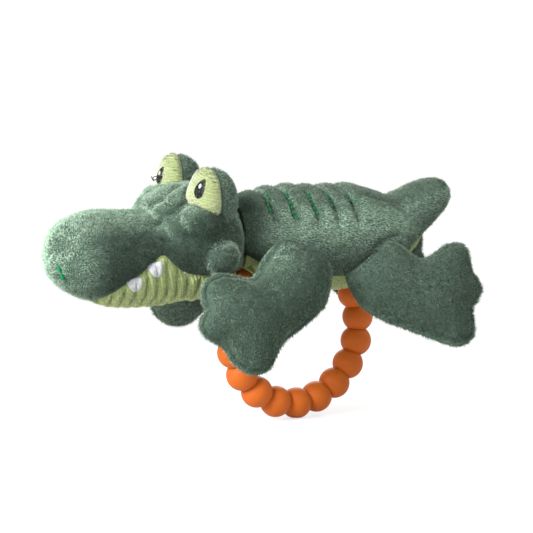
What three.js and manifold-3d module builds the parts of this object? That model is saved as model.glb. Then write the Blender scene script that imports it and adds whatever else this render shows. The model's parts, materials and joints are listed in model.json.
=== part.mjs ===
// Alligator teether rattle: a small stuffed alligator that is threaded on a beaded silicone ring.
// Millimetres, +Z up. The alligator faces -X, +Y is its right side, and the origin is the point
// where the lowest bead of the ring stands on the floor.
import * as THREE from 'three';
import { mergeVertices } from 'three/addons/utils/BufferGeometryUtils.js';
import Module from 'manifold-3d';

const wasm = await Module();
wasm.setup();

// Driving dimensions
const ring = { centreRadius: 29, beadDiameter: 12, beads: 19, restFlat: 0.5 };
const fabric = { wall: 1.5 };
const gap = { seam: 0.35, running: 0.4, swing: 1.3 };
const cut = { overrun: 20 };
const weld = 1e-4;

const torso = {
  length: 98, width: 44, height: 37, turn: 10,
  undersideAboveRing: 17.3, neckAheadOfRing: 33,
  grooveDepth: 1.3, grooveWidth: 1.9, grooves: 5, groovePitch: 8.05, firstGrooveAhead: 16.5,
};
const channel = { halfWidth: 9.5, innerRadius: 21, outerRadius: 37.2, fillingInnerRadius: 18 };
const sleeve = { innerRadius: 6.6, wall: 0.8, arc: 64, overrunArc: 8 };
const neck = { ballRadius: 14.2, nod: 10, clearance: 0.5 };

const head = {
  length: 72, width: 51, height: 42,
  turn: 5, roll: 8.5, neckToBack: 7, axisBelowNeck: 1.5,
};
const eye = {
  width: 18.5, height: 25, frontDepth: 6.5, backDepth: 12,
  spacing: 30, behindNose: 53.5, aboveAxis: 18, splay: 6,
};
const pupil = { width: 4.6, height: 6.2, thickness: 0.6, outward: 1, aside: 3.4, rise: 5.1, tilt: 1.1 };
const tooth = { width: 5.2, height: 5.6, thickness: 1, root: 0.6 };
const rattle = {
  diameter: 21, length: 19, wall: 1.4, lip: 4,
  behindNose: 34, belowAxis: 4.5,
  pellets: 4, pelletDiameter: 3.4, pelletPitch: 3.9,
};

const frontLeg = { length: 54, width: 49, thickness: 16, sunkIn: 0.7 };
const rearLeg = { length: 48.5, width: 43, thickness: 15, sunkIn: 1.8 };

// Places that follow from the driving dimensions
const ringCentreZ = ring.centreRadius + ring.beadDiameter / 2 - ring.restFlat;
const torsoAxisZ = ringCentreZ + torso.undersideAboveRing + torso.height / 2;
const neckCentre = new THREE.Vector3(-torso.neckAheadOfRing, 0, torsoAxisZ);

const torsoPose = new THREE.Matrix4().makeRotationZ(-THREE.MathUtils.degToRad(torso.turn));

// How finely the round forms are faceted: sides round them and steps along them
const facets = {
  head: { sides: 26, steps: 15 }, sweep: { sides: 16, steps: 10 },
  torso: { sides: 20, liningSteps: 18, neckSteps: 5, grooveSteps: 4, tailSteps: 15 },
  eye: { sides: 20, steps: 14 }, bead: { sides: 12, steps: 7 }, pellet: { sides: 8, steps: 6 },
  sleeve: { sides: 14, steps: 8 }, ball: 24, drum: 28, pupil: 14, tooth: 4, seamLine: 3, channel: 24, search: 24,
};

const colours = {
  plush: 0x5f7f6b, plushDark: 0x55735f, pale: 0xa9bd82, orange: 0xcf6a1e,
  black: 0x1a1a1a, white: 0xe6e6ea, fill: 0xf3f1ea, plastic: 0xdfe6ea, pellet: 0xb5342c,
};

// Solids: closed geometries turned into bodies that can be joined and cut
function solidOf(geometry) {
  const bare = geometry.clone();
  for (const name of Object.keys(bare.attributes)) {
    if (name !== 'position') bare.deleteAttribute(name);
  }
  const merged = mergeVertices(bare, weld);
  const vertProperties = new Float32Array(merged.attributes.position.array);
  const triVerts = new Uint32Array(merged.index.array);
  return new wasm.Manifold(new wasm.Mesh({ numProp: 3, vertProperties, triVerts }));
}

function geometryOf(solid) {
  const mesh = solid.getMesh();
  const geometry = new THREE.BufferGeometry();
  geometry.setAttribute('position', new THREE.BufferAttribute(new Float32Array(mesh.vertProperties), 3));
  geometry.setIndex(new THREE.BufferAttribute(new Uint32Array(mesh.triVerts), 1));
  return geometry;
}

function placed(geometry, matrix) {
  return solidOf(geometry.clone().applyMatrix4(matrix));
}

function ball(radius, centre) {
  const geometry = new THREE.SphereGeometry(radius, facets.ball, facets.ball / 2);
  return solidOf(geometry.translate(centre.x, centre.y, centre.z));
}

// A slab with the outline of a side view (x, z), running right through the toy from side to side
function sideSlab(shape, halfWidth, curveSegments) {
  const geometry = new THREE.ExtrudeGeometry(shape, { depth: 2 * halfWidth, bevelEnabled: false, curveSegments });
  geometry.rotateX(Math.PI / 2).translate(0, halfWidth, 0);
  return solidOf(geometry);
}

// Loft: rounded sections along a smooth path in the XZ plane. Each station holds the place of the
// path (x, z), the half width, and the half heights above and below the path.
function sectionsAlong(stations, steps, dress = (section) => section) {
  const path = new THREE.CatmullRomCurve3(
    stations.map((s) => new THREE.Vector3(s.x, 0, s.z)), false, 'catmullrom');
  const girth = new THREE.CatmullRomCurve3(
    stations.map((s) => new THREE.Vector3(s.half, s.up, s.down)), false, 'catmullrom');
  return steps.map((t) => {
    const centre = path.getPoint(t);
    const size = girth.getPoint(t);
    const tangent = path.getTangent(t);
    return dress({
      centre,
      up: new THREE.Vector3(-tangent.z, 0, tangent.x).multiplyScalar(Math.sign(tangent.x) || 1),
      half: size.x, above: size.y, below: size.z,
    });
  });
}

function loft(sections, sides, squareness) {
  const positions = [];
  const index = [];
  const power = 2 / squareness;
  for (const s of sections) {
    for (let k = 0; k < sides; k += 1) {
      const angle = (2 * Math.PI * k) / sides;
      const c = Math.cos(angle);
      const n = Math.sin(angle);
      const across = s.half * Math.sign(c) * Math.abs(c) ** power;
      const rise = (n > 0 ? s.above : s.below) * Math.sign(n) * Math.abs(n) ** power;
      positions.push(s.centre.x + s.up.x * rise, across, s.centre.z + s.up.z * rise);
    }
  }
  const last = (sections.length - 1) * sides;
  for (let i = 0; i < sections.length - 1; i += 1) {
    for (let k = 0; k < sides; k += 1) {
      const a = i * sides + k;
      const b = i * sides + ((k + 1) % sides);
      index.push(a, b, a + sides, b, b + sides, a + sides);
    }
  }
  const ends = [sections[0], sections[sections.length - 1]];
  const first = positions.length / 3;
  for (const s of ends) positions.push(s.centre.x, 0, s.centre.z);
  for (let k = 0; k < sides; k += 1) {
    const next = (k + 1) % sides;
    index.push(first, next, k);
    index.push(first + 1, last + k, last + next);
  }
  const geometry = new THREE.BufferGeometry();
  geometry.setAttribute('position', new THREE.Float32BufferAttribute(positions, 3));
  geometry.setIndex(index);
  return facingOut(geometry);
}

// Turns the faces of a closed geometry outwards, judged by the sign of its volume
function facingOut(geometry) {
  const p = geometry.attributes.position;
  const index = geometry.index.array;
  const [a, b, c] = [new THREE.Vector3(), new THREE.Vector3(), new THREE.Vector3()];
  let volume = 0;
  for (let i = 0; i < index.length; i += 3) {
    a.fromBufferAttribute(p, index[i]);
    b.fromBufferAttribute(p, index[i + 1]);
    c.fromBufferAttribute(p, index[i + 2]);
    volume += a.dot(b.cross(c));
  }
  if (volume < 0) {
    for (let i = 0; i < index.length; i += 3) [index[i + 1], index[i + 2]] = [index[i + 2], index[i + 1]];
  }
  return geometry;
}

// Evenly spread steps with closer ones at both ends, where the form rounds off
function roundedSteps(count) {
  return Array.from({ length: count + 1 }, (_, i) => (1 - Math.cos((Math.PI * i) / count)) / 2);
}

// The same stations drawn in by a distance, for a lining or a filling inside a cover. A tip that is
// too thin for the distance keeps a share of its own size.
const tipShare = 0.5;
function drawnIn(stations, inset) {
  const first = stations[0].x;
  const last = stations[stations.length - 1].x;
  const middle = (first + last) / 2;
  const share = 1 - (2 * inset) / (last - first);
  return stations.map((s) => ({
    x: middle + (s.x - middle) * share, z: s.z,
    half: Math.max(s.half - inset, s.half * tipShare),
    up: Math.max(s.up - inset, s.up * tipShare),
    down: Math.max(s.down - inset, s.down * tipShare),
  }));
}

// Head: one loft from the nose to the back of the skull. Shares along the head's length, and of
// half its width and half its height; the axis runs level through the middle of the snout.
const headStationShares = [
  { along: 0, rise: -0.18, half: 0.08, up: 0.1, down: 0.1 },
  { along: 0.02, rise: -0.18, half: 0.34, up: 0.36, down: 0.34 },
  { along: 0.09, rise: -0.17, half: 0.6, up: 0.6, down: 0.6 },
  { along: 0.21, rise: -0.15, half: 0.76, up: 0.7, down: 0.79 },
  { along: 0.35, rise: -0.14, half: 0.79, up: 0.69, down: 0.89 },
  { along: 0.54, rise: -0.12, half: 0.84, up: 0.7, down: 0.91 },
  { along: 0.62, rise: -0.06, half: 0.92, up: 0.94, down: 0.92 },
  { along: 0.68, rise: -0.02, half: 0.98, up: 1.04, down: 0.93 },
  { along: 0.76, rise: 0, half: 1, up: 1.04, down: 0.95 },
  { along: 0.86, rise: 0, half: 0.94, up: 0.98, down: 0.88 },
  { along: 0.95, rise: 0.02, half: 0.7, up: 0.74, down: 0.62 },
  { along: 1, rise: 0.02, half: 0.26, up: 0.3, down: 0.26 },
];
const headBack = neckCentre.x + head.neckToBack;
const noseX = headBack - head.length;
const headAxisZ = neckCentre.z - head.axisBelowNeck;
const headStations = headStationShares.map((s) => ({
  x: noseX + s.along * head.length,
  z: headAxisZ + s.rise * head.height / 2,
  half: s.half * head.width / 2, up: s.up * head.height / 2, down: s.down * head.height / 2,
}));
const headSquareness = 2.2;
const headLoft = (inset, { sides, steps }) => loft(
  sectionsAlong(drawnIn(headStations, inset), roundedSteps(steps)), sides, headSquareness);
const headForm = (inset) => solidOf(headLoft(inset, facets.head));

// Mouth line in the side view, from under the nose, up to the corner behind the teeth and back along
// the cheek: shares of the head's length, and of its half height from the axis
const mouthShares = [
  [0.16, -1.3], [0.2, -0.94], [0.26, -0.7], [0.33, -0.47], [0.4125, -0.24], [0.495, 0.01],
  [0.55, -0.13], [0.61, -0.28], [0.7, -0.33], [0.85, -0.32], [0.95, -0.4], [1.04, -0.5],
];
function mouthPoints(lift) {
  return mouthShares.map(([along, rise]) => new THREE.Vector2(
    noseX + along * head.length, headAxisZ + rise * head.height / 2 + lift));
}
function jawSlab(lift) {
  const shape = new THREE.Shape();
  const line = mouthPoints(lift);
  shape.moveTo(line[0].x, line[0].y - cut.overrun);
  shape.lineTo(line[0].x, line[0].y);
  shape.splineThru(line.slice(1));
  shape.lineTo(line[line.length - 1].x, line[0].y - cut.overrun);
  shape.closePath();
  return sideSlab(shape, head.width / 2 + cut.overrun, facets.seamLine);
}
const jawBelow = jawSlab(-gap.seam / 2);
const jawAndSeam = jawSlab(gap.seam / 2);

const neckSocket = ball(neck.ballRadius + neck.clearance, neckCentre);
const headShell = headForm(0).subtract(headForm(fabric.wall)).subtract(neckSocket);
const headUpperShell = headShell.subtract(jawAndSeam);
const jawShell = headShell.intersect(jawBelow);

// Eyes: a shallow pale front and a deep dark back, sewn together around an upright oval seam
const eyeX = noseX + eye.behindNose;
const eyeZ = headAxisZ + eye.aboveAxis;
function eyeDome(depth, side) {
  const geometry = new THREE.SphereGeometry(1, facets.eye.sides, facets.eye.steps);
  const matrix = eyePlace(side).multiply(
    new THREE.Matrix4().makeScale(depth, eye.width / 2, eye.height / 2));
  return placed(geometry, matrix);
}
function eyePlace(side) {
  return new THREE.Matrix4()
    .makeTranslation(eyeX, side * eye.spacing / 2, eyeZ)
    .multiply(new THREE.Matrix4().makeRotationZ(THREE.MathUtils.degToRad(-side * eye.splay)));
}
function eyeHalfSpace(side, shift, forward) {
  const reach = eye.height + cut.overrun;
  const box = new THREE.BoxGeometry(reach, 2 * reach, 2 * reach);
  box.translate((forward ? -1 : 1) * reach / 2 + shift, 0, 0);
  return placed(box, eyePlace(side));
}
const grownHead = headForm(-gap.seam);
function eyeFront(side) {
  return eyeDome(eye.frontDepth, side)
    .intersect(eyeHalfSpace(side, -gap.seam / 2, true)).subtract(grownHead);
}
function eyeBack(side) {
  return eyeDome(eye.backDepth, side)
    .intersect(eyeHalfSpace(side, gap.seam / 2, false)).subtract(grownHead);
}

// Pupils: thin embroidered ovals lying on the pale fronts. Both are worked a little to the left and
// tilted, so the toy looks to its left.
function pupilOn(side) {
  const offset = side * pupil.outward - pupil.aside;
  const rise = pupil.rise - side * pupil.tilt;
  const y = offset / (eye.width / 2);
  const z = rise / (eye.height / 2);
  const surface = -eye.frontDepth * Math.sqrt(1 - y * y - z * z);
  const geometry = new THREE.CylinderGeometry(1, 1, pupil.thickness, facets.pupil);
  geometry.rotateZ(Math.PI / 2).scale(1, pupil.width / 2, pupil.height / 2);
  geometry.translate(surface - pupil.thickness, offset, rise);
  const clear = eyeDome(eye.frontDepth + gap.seam / 2, side);
  return placed(geometry, eyePlace(side)).subtract(clear);
}

// Teeth: rounded tabs sewn in at the mouth line and lying on the jaw's cloth
const toothShares = [0.36, 0.462];
const toothLine = new THREE.SplineCurve(mouthPoints(0));
function mouthPointAt(x) {
  const points = toothLine.getPoints(mouthShares.length * facets.seamLine * 2);
  return points.reduce((best, p) => (Math.abs(p.x - x) < Math.abs(best.x - x) ? p : best));
}
function toothOn(side, along) {
  const at = mouthPointAt(noseX + along * head.length);
  const [left, right] = [at.x - tooth.width / 2, at.x + tooth.width / 2];
  const [tip, root] = [at.y - tooth.height, at.y + tooth.root];
  const shape = new THREE.Shape();
  shape.moveTo(left, root);
  shape.quadraticCurveTo(left, tip, at.x, tip);
  shape.quadraticCurveTo(right, tip, right, root);
  shape.closePath();
  const slab = new THREE.ExtrudeGeometry(shape, {
    depth: head.width, bevelEnabled: false, curveSegments: facets.tooth,
  });
  slab.rotateX(Math.PI / 2);
  if (side > 0) slab.translate(0, head.width, 0);
  return solidOf(slab).intersect(headForm(-gap.seam - tooth.thickness)).subtract(grownHead);
}

// Rattle drum: a cup and a cap that plugs into it, with pellets on the drum's floor
const drumX = noseX + rattle.behindNose;
const drumZ = headAxisZ - rattle.belowAxis;
function drumProfile(points) {
  const geometry = new THREE.LatheGeometry(points.map(([r, l]) => new THREE.Vector2(r, l)), facets.drum);
  geometry.rotateZ(-Math.PI / 2).translate(drumX, 0, drumZ);
  return facingOut(mergeVertices(bareOf(geometry), weld));
}
function bareOf(geometry) {
  const bare = geometry.clone();
  bare.deleteAttribute('normal');
  bare.deleteAttribute('uv');
  return bare;
}
const drumR = rattle.diameter / 2;
const drumL = rattle.length / 2;
const cupInnerR = drumR - rattle.wall;
function rattleCup() {
  return drumProfile([
    [0, -drumL], [drumR - rattle.wall, -drumL], [drumR, -drumL + rattle.wall], [drumR, drumL - rattle.wall],
    [cupInnerR, drumL - rattle.wall], [cupInnerR, -drumL + rattle.wall], [0, -drumL + rattle.wall],
  ]);
}
function rattleCap() {
  const plugR = cupInnerR - gap.seam;
  const seat = drumL - rattle.wall + gap.seam;
  return drumProfile([
    [0, seat], [plugR - rattle.wall, seat], [plugR - rattle.wall, seat - rattle.lip],
    [plugR, seat - rattle.lip], [plugR, seat], [drumR, seat],
    [drumR - rattle.wall / 2, seat + rattle.wall], [0, seat + rattle.wall],
  ]);
}
const pelletLane = (i) => (i - (rattle.pellets - 1) / 2) * rattle.pelletPitch;
function pelletAt(i) {
  const laneY = pelletLane(i);
  const reach = cupInnerR - rattle.pelletDiameter / 2 - gap.seam;
  const drop = -Math.sqrt(reach * reach - laneY * laneY);
  const shift = -(rattle.lip - rattle.wall) / 2;
  const geometry = new THREE.SphereGeometry(rattle.pelletDiameter / 2, facets.pellet.sides, facets.pellet.steps);
  return geometry.translate(drumX + shift, laneY, drumZ + drop);
}

// Filling of the head: two wads of fibre that meet at the drum's middle
const drumPocket = (() => {
  const geometry = new THREE.CylinderGeometry(
    drumR + gap.seam, drumR + gap.seam, rattle.length + 2 * gap.seam + rattle.wall, facets.drum);
  geometry.rotateZ(Math.PI / 2).translate(drumX, 0, drumZ);
  return solidOf(geometry);
})();
const headFill = headForm(fabric.wall + gap.seam)
  .subtract(drumPocket)
  .subtract(ball(neck.ballRadius + neck.clearance + fabric.wall, neckCentre));
function levelHalf(z, above) {
  const reach = head.length + cut.overrun;
  const box = new THREE.BoxGeometry(2 * reach, 2 * reach, reach);
  return solidOf(box.translate(drumX, 0, z + (above ? reach / 2 : -reach / 2)));
}

// Torso and tail: one loft from inside the neck to the tail's tip. Shares of the torso's length
// behind the neck's centre, and of half its width and half its height.
const torsoStationShares = [
  { along: 0, rise: 0, half: 0.3, up: 0.34, down: 0.34 },
  { along: 0.021, rise: 0, half: 0.62, up: 0.7, down: 0.7 },
  { along: 0.106, rise: 0, half: 0.84, up: 0.88, down: 1 },
  { along: 0.212, rise: 0, half: 0.97, up: 0.97, down: 1.06 },
  { along: 0.34, rise: 0, half: 1, up: 1, down: 1.1 },
  { along: 0.467, rise: 0, half: 1, up: 1, down: 1.13 },
  { along: 0.573, rise: 0.02, half: 0.96, up: 0.98, down: 1.13 },
  { along: 0.669, rise: 0.06, half: 0.84, up: 0.8, down: 0.98 },
  { along: 0.753, rise: 0.14, half: 0.66, up: 0.64, down: 0.72 },
  { along: 0.822, rise: 0.34, half: 0.53, up: 0.56, down: 0.54 },
  { along: 0.889, rise: 0.58, half: 0.46, up: 0.46, down: 0.46 },
  { along: 0.949, rise: 0.76, half: 0.38, up: 0.37, down: 0.38 },
  { along: 0.987, rise: 0.86, half: 0.24, up: 0.26, down: 0.24 },
  { along: 1, rise: 0.89, half: 0.06, up: 0.07, down: 0.07 },
];
const torsoStations = torsoStationShares.map((s) => ({
  x: neckCentre.x + s.along * torso.length,
  z: torsoAxisZ + s.rise * torso.height / 2,
  half: s.half * torso.width / 2, up: s.up * torso.height / 2, down: s.down * torso.height / 2,
}));
const grooveX = Array.from({ length: torso.grooves }, (_, i) => -torso.firstGrooveAhead + i * torso.groovePitch);
function grooved(section) {
  const dip = grooveX.reduce((sum, x) =>
    sum + Math.exp(-(((section.centre.x - x) / torso.grooveWidth) ** 2)), 0);
  return { ...section, above: section.above - torso.grooveDepth * dip };
}
const evenly = (from, to, count) => Array.from({ length: count + 1 }, (_, i) => from + ((to - from) * i) / count);
function stepAt(x) {
  const path = new THREE.CatmullRomCurve3(
    torsoStations.map((s) => new THREE.Vector3(s.x, 0, s.z)), false, 'catmullrom');
  let [low, high] = [0, 1];
  for (let i = 0; i < facets.search; i += 1) {
    const middle = (low + high) / 2;
    if (path.getPoint(middle).x < x) low = middle;
    else high = middle;
  }
  return (low + high) / 2;
}
const quilted = evenly(
  grooveX[0] - torso.groovePitch / 2, grooveX[torso.grooves - 1] + torso.groovePitch / 2,
  torso.grooves * facets.torso.grooveSteps).map(stepAt);
const coverSteps = [
  ...evenly(0, quilted[0], facets.torso.neckSteps), ...quilted.slice(1, -1),
  ...evenly(quilted[quilted.length - 1], 1, facets.torso.tailSteps),
];
const torsoSquareness = 2.15;
const torsoCover = solidOf(loft(
  sectionsAlong(torsoStations, coverSteps, grooved), facets.torso.sides, torsoSquareness));
const torsoForm = (inset) => solidOf(loft(
  sectionsAlong(drawnIn(torsoStations, inset), evenly(0, 1, facets.torso.liningSteps)),
  facets.torso.sides, torsoSquareness));

// The head in its place: turned, rolled, and swept through its nod for the hollow that the torso leaves it
const headPose = new THREE.Matrix4()
  .makeTranslation(neckCentre.x, neckCentre.y, neckCentre.z)
  .multiply(new THREE.Matrix4().makeRotationZ(THREE.MathUtils.degToRad(head.turn)))
  .multiply(new THREE.Matrix4().makeRotationX(THREE.MathUtils.degToRad(head.roll)))
  .multiply(new THREE.Matrix4().makeTranslation(-neckCentre.x, -neckCentre.y, -neckCentre.z));
function nodded(geometry, degrees) {
  const nod = new THREE.Matrix4()
    .makeTranslation(neckCentre.x, neckCentre.y, neckCentre.z)
    .multiply(new THREE.Matrix4().makeRotationY(THREE.MathUtils.degToRad(degrees)))
    .multiply(new THREE.Matrix4().makeTranslation(-neckCentre.x, -neckCentre.y, -neckCentre.z))
    .multiply(headPose);
  return placed(geometry, nod);
}
const nodSteps = [-1, 0, 1];
function headSweep(growth) {
  const geometry = headLoft(-growth, facets.sweep);
  return nodSteps.map((share) => nodded(geometry, share * neck.nod)).reduce((all, one) => all.add(one));
}
const torsoOuter = torsoCover.subtract(headSweep(gap.swing)).add(ball(neck.ballRadius, neckCentre));
const torsoInner = torsoForm(fabric.wall + torso.grooveDepth)
  .subtract(headSweep(gap.swing + fabric.wall))
  .add(ball(neck.ballRadius - fabric.wall, neckCentre));

// Side seam between the dark back and the pale belly, in the side view
const seamShares = [
  [-0.16, -0.36], [0, -0.44], [0.13, -0.58], [0.3, -0.75], [0.51, -0.8], [0.66, -0.7],
  [0.76, -0.44], [0.83, -0.12], [0.91, 0.14], [1, 0.5],
];
function bellySlab(lift) {
  const line = seamShares.map(([along, rise]) => new THREE.Vector2(
    neckCentre.x + along * torso.length, torsoAxisZ + rise * torso.height / 2 + lift));
  const shape = new THREE.Shape();
  const floor = torsoAxisZ - torso.height / 2 - cut.overrun;
  shape.moveTo(line[0].x, floor);
  shape.lineTo(line[0].x, line[0].y);
  shape.splineThru(line.slice(1));
  shape.lineTo(line[line.length - 1].x, floor);
  shape.closePath();
  return sideSlab(shape, torso.width / 2 + cut.overrun, facets.seamLine);
}

// Ring channel: the space inside the torso in which the sleeved ring turns and swings
function channelSpace(innerRadius) {
  const shape = new THREE.Shape();
  shape.absarc(0, ringCentreZ, channel.outerRadius, 0, 2 * Math.PI, false);
  const hole = new THREE.Path();
  hole.absarc(0, ringCentreZ, innerRadius, 0, 2 * Math.PI, true);
  shape.holes.push(hole);
  return sideSlab(shape, channel.halfWidth, facets.channel).transform(torsoPose.clone().invert().elements);
}
const ringSpace = channelSpace(channel.innerRadius);
const torsoShell = torsoOuter.subtract(torsoInner);
const torsoBack = torsoShell.subtract(bellySlab(gap.seam / 2)).subtract(ringSpace);
const torsoBelly = torsoShell.intersect(bellySlab(-gap.seam / 2)).subtract(ringSpace);
const torsoFill = torsoForm(fabric.wall + torso.grooveDepth + gap.seam)
  .subtract(headSweep(gap.swing + fabric.wall + gap.seam))
  .add(ball(neck.ballRadius - fabric.wall - gap.seam, neckCentre))
  .subtract(channelSpace(channel.fillingInnerRadius));

// Sleeve: the cloth tube inside the belly that the ring is threaded through
function arcTube(radius, arcDegrees) {
  const { sides, steps } = facets.sleeve;
  const arc = THREE.MathUtils.degToRad(arcDegrees);
  const points = Array.from({ length: steps + 1 }, (_, i) => {
    const angle = Math.PI / 2 - arc / 2 + (arc * i) / steps;
    return new THREE.Vector3(
      ring.centreRadius * Math.cos(angle), 0, ringCentreZ + ring.centreRadius * Math.sin(angle));
  });
  const shape = new THREE.Shape(Array.from({ length: sides }, (_, i) => new THREE.Vector2(
    radius * Math.cos((2 * Math.PI * i) / sides), radius * Math.sin((2 * Math.PI * i) / sides))));
  return solidOf(new THREE.ExtrudeGeometry(shape, {
    steps, bevelEnabled: false, extrudePath: new THREE.CatmullRomCurve3(points),
  }));
}
const ringSleeve = arcTube(sleeve.innerRadius + sleeve.wall, sleeve.arc)
  .subtract(arcTube(sleeve.innerRadius, sleeve.arc + sleeve.overrunArc));

// Teether ring: one moulding of touching beads, the lowest cut flat where it stands
const beadAngle = (i) => -Math.PI / 2 + (2 * Math.PI * i) / ring.beads;
const teetherRing = (() => {
  let beads = null;
  for (let i = 0; i < ring.beads; i += 1) {
    const geometry = new THREE.SphereGeometry(ring.beadDiameter / 2, facets.bead.sides, facets.bead.steps);
    geometry.rotateY(-beadAngle(i));
    geometry.translate(
      ring.centreRadius * Math.cos(beadAngle(i)), 0,
      ringCentreZ + ring.centreRadius * Math.sin(beadAngle(i)));
    beads = beads ? beads.add(solidOf(geometry)) : solidOf(geometry);
  }
  const floor = new THREE.BoxGeometry(4 * ring.centreRadius, 4 * ring.centreRadius, cut.overrun);
  return beads.subtract(solidOf(floor.translate(0, 0, -cut.overrun / 2)));
})();

// Legs: flat stuffed limbs with a three-toed paw, sewn on along a straight root seam. Outlines run
// in shares of the leg's length away from the seam and of its width along the seam; the spine is
// the line under the limb's fullest part, and the wedge is where it thins towards the seam. The root
// is the seam's place behind the neck and above the axis, in shares of the torso's length and half height.
const frontLegShares = {
  outline: [
    [0, -0.12], [0.13, -0.22], [0.22, -0.27], [0.37, -0.32], [0.4, -0.42], [0.43, -0.58], [0.5, -0.67],
    [0.58, -0.69], [0.65, -0.66], [0.7, -0.63], [0.76, -0.655], [0.83, -0.64], [0.88, -0.57], [0.9, -0.44],
    [0.96, -0.36], [1, -0.26], [1, -0.15], [0.94, -0.05], [0.83, -0.01], [0.72, 0.03], [0.62, 0.12],
    [0.5, 0.22], [0.38, 0.3], [0.25, 0.32], [0.12, 0.31], [0.03, 0.27], [0, 0.19],
  ],
  spine: [[0.22, 0.03], [0.66, -0.27]], wedge: 0.26, root: { along: 0.2551, rise: -0.054 },
};
const rearLegShares = {
  outline: [
    [0, -0.2], [0.03, -0.31], [0.11, -0.36], [0.21, -0.375], [0.32, -0.36], [0.45, -0.325], [0.59, -0.265],
    [0.73, -0.21], [0.87, -0.15], [0.95, -0.1], [1, -0.01], [0.99, 0.09], [0.93, 0.17], [0.86, 0.25],
    [0.85, 0.34], [0.82, 0.43], [0.76, 0.48], [0.68, 0.505], [0.62, 0.56], [0.54, 0.63], [0.46, 0.63],
    [0.39, 0.55], [0.36, 0.42], [0.32, 0.3], [0.21, 0.28], [0.1, 0.27], [0.02, 0.22], [0, 0.12],
  ],
  spine: [[0.24, 0], [0.64, 0.2]], wedge: 0.28, root: { along: 0.5408, rise: -0.4324 },
};
const pillowShares = [1, 0.94, 0.8, 0.55, 0.2];
function legGeometry(leg, shares, mirrored) {
  const side = mirrored ? -1 : 1;
  const flat = ([l, w]) => new THREE.Vector3(l * leg.length, w * leg.width, 0);
  const curve = new THREE.CatmullRomCurve3(shares.outline.map(flat), true, 'catmullrom');
  const count = shares.outline.length;
  const outline = curve.getPoints(count).slice(0, count);
  const spine = new THREE.Line3(...shares.spine.map(flat));
  const swell = (l, share) => {
    const wedge = THREE.MathUtils.clamp(l / (shares.wedge * leg.length), 0, 1);
    return (leg.thickness / 2) * Math.sin((Math.PI / 2) * wedge) * Math.sqrt(1 - share * share);
  };
  const positions = [];
  const ring = (share, face) => outline.map((p) => {
    const at = spine.closestPointToPoint(p, true, new THREE.Vector3()).lerp(p, share);
    positions.push(at.x, at.y, side * face * swell(at.x, share));
    return positions.length / 3 - 1;
  });
  const edge = ring(pillowShares[0], 0);
  const index = [];
  for (const face of [1, -1]) {
    const rings = [edge, ...pillowShares.slice(1).map((share) => ring(share, face))];
    for (let i = 0; i + 1 < rings.length; i += 1) {
      for (let k = 0; k < count; k += 1) {
        const n = (k + 1) % count;
        const quad = [rings[i][k], rings[i][n], rings[i + 1][n], rings[i + 1][k]];
        if (face > 0) index.push(quad[0], quad[1], quad[3], quad[1], quad[2], quad[3]);
        else index.push(quad[0], quad[3], quad[1], quad[1], quad[3], quad[2]);
      }
    }
    const inner = rings[rings.length - 1];
    const cap = inner.map((id) => new THREE.Vector2(positions[3 * id], positions[3 * id + 1]));
    for (const [a, b, c] of THREE.ShapeUtils.triangulateShape(cap, [])) {
      if (face > 0) index.push(inner[a], inner[b], inner[c]);
      else index.push(inner[a], inner[c], inner[b]);
    }
  }
  const geometry = new THREE.BufferGeometry();
  geometry.setAttribute('position', new THREE.Float32BufferAttribute(positions, 3));
  geometry.setIndex(index);
  return facingOut(geometry);
}

// A leg's place: its root seam's middle, the way that the limb points and the way that the seam runs
function legPlace(root, away, seam) {
  const v = new THREE.Vector3(...seam).normalize();
  const u = new THREE.Vector3(...away);
  u.addScaledVector(v, -u.dot(v)).normalize();
  return new THREE.Matrix4().makeBasis(u, v, new THREE.Vector3().crossVectors(u, v)).setPosition(root);
}
const rootOf = (leg, { root }, side) => new THREE.Vector3(
  neckCentre.x + root.along * torso.length,
  side * (torso.width / 2 - leg.sunkIn),
  torsoAxisZ + (root.rise * torso.height) / 2);
const front = { leg: frontLeg, shares: frontLegShares, seam: [0.93, 0, -0.37] };
const rear = { leg: rearLeg, shares: rearLegShares };
const legs = {
  front_leg_left: { ...front, side: -1, away: [-0.345, -0.361, -0.866] },
  front_leg_right: { ...front, side: 1, away: [-0.317, 0.551, -0.772], seam: [0.925, 0, -0.38] },
  rear_leg_left: { ...rear, side: -1, away: [0.632, -0.461, -0.623], seam: [0.702, 0, 0.712] },
  rear_leg_right: { ...rear, side: 1, away: [0.955, -0.04, -0.29], seam: [0.29, 0.1, 0.952] },
};
const torsoForLegs = torsoForm(-gap.running);
const headForLegs = placed(headLoft(-gap.swing, facets.sweep), headPose);
function legSolid({ leg, shares, side, away, seam }) {
  return placed(legGeometry(leg, shares, side > 0), legPlace(rootOf(leg, shares, side), away, seam))
    .subtract(torsoForLegs).subtract(headForLegs);
}

// Assembly
const toy = new THREE.Group();
const torsoGroup = new THREE.Group();
const headGroup = new THREE.Group();
torsoGroup.applyMatrix4(torsoPose);
headGroup.applyMatrix4(headPose);
torsoGroup.add(headGroup);
toy.add(torsoGroup);

function add(parent, name, form, colour, roughness, metalness = 0) {
  const geometry = form.isBufferGeometry ? form : geometryOf(form);
  const mesh = new THREE.Mesh(geometry, new THREE.MeshStandardMaterial({ color: colour, roughness, metalness }));
  mesh.name = name;
  parent.add(mesh);
}

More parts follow.
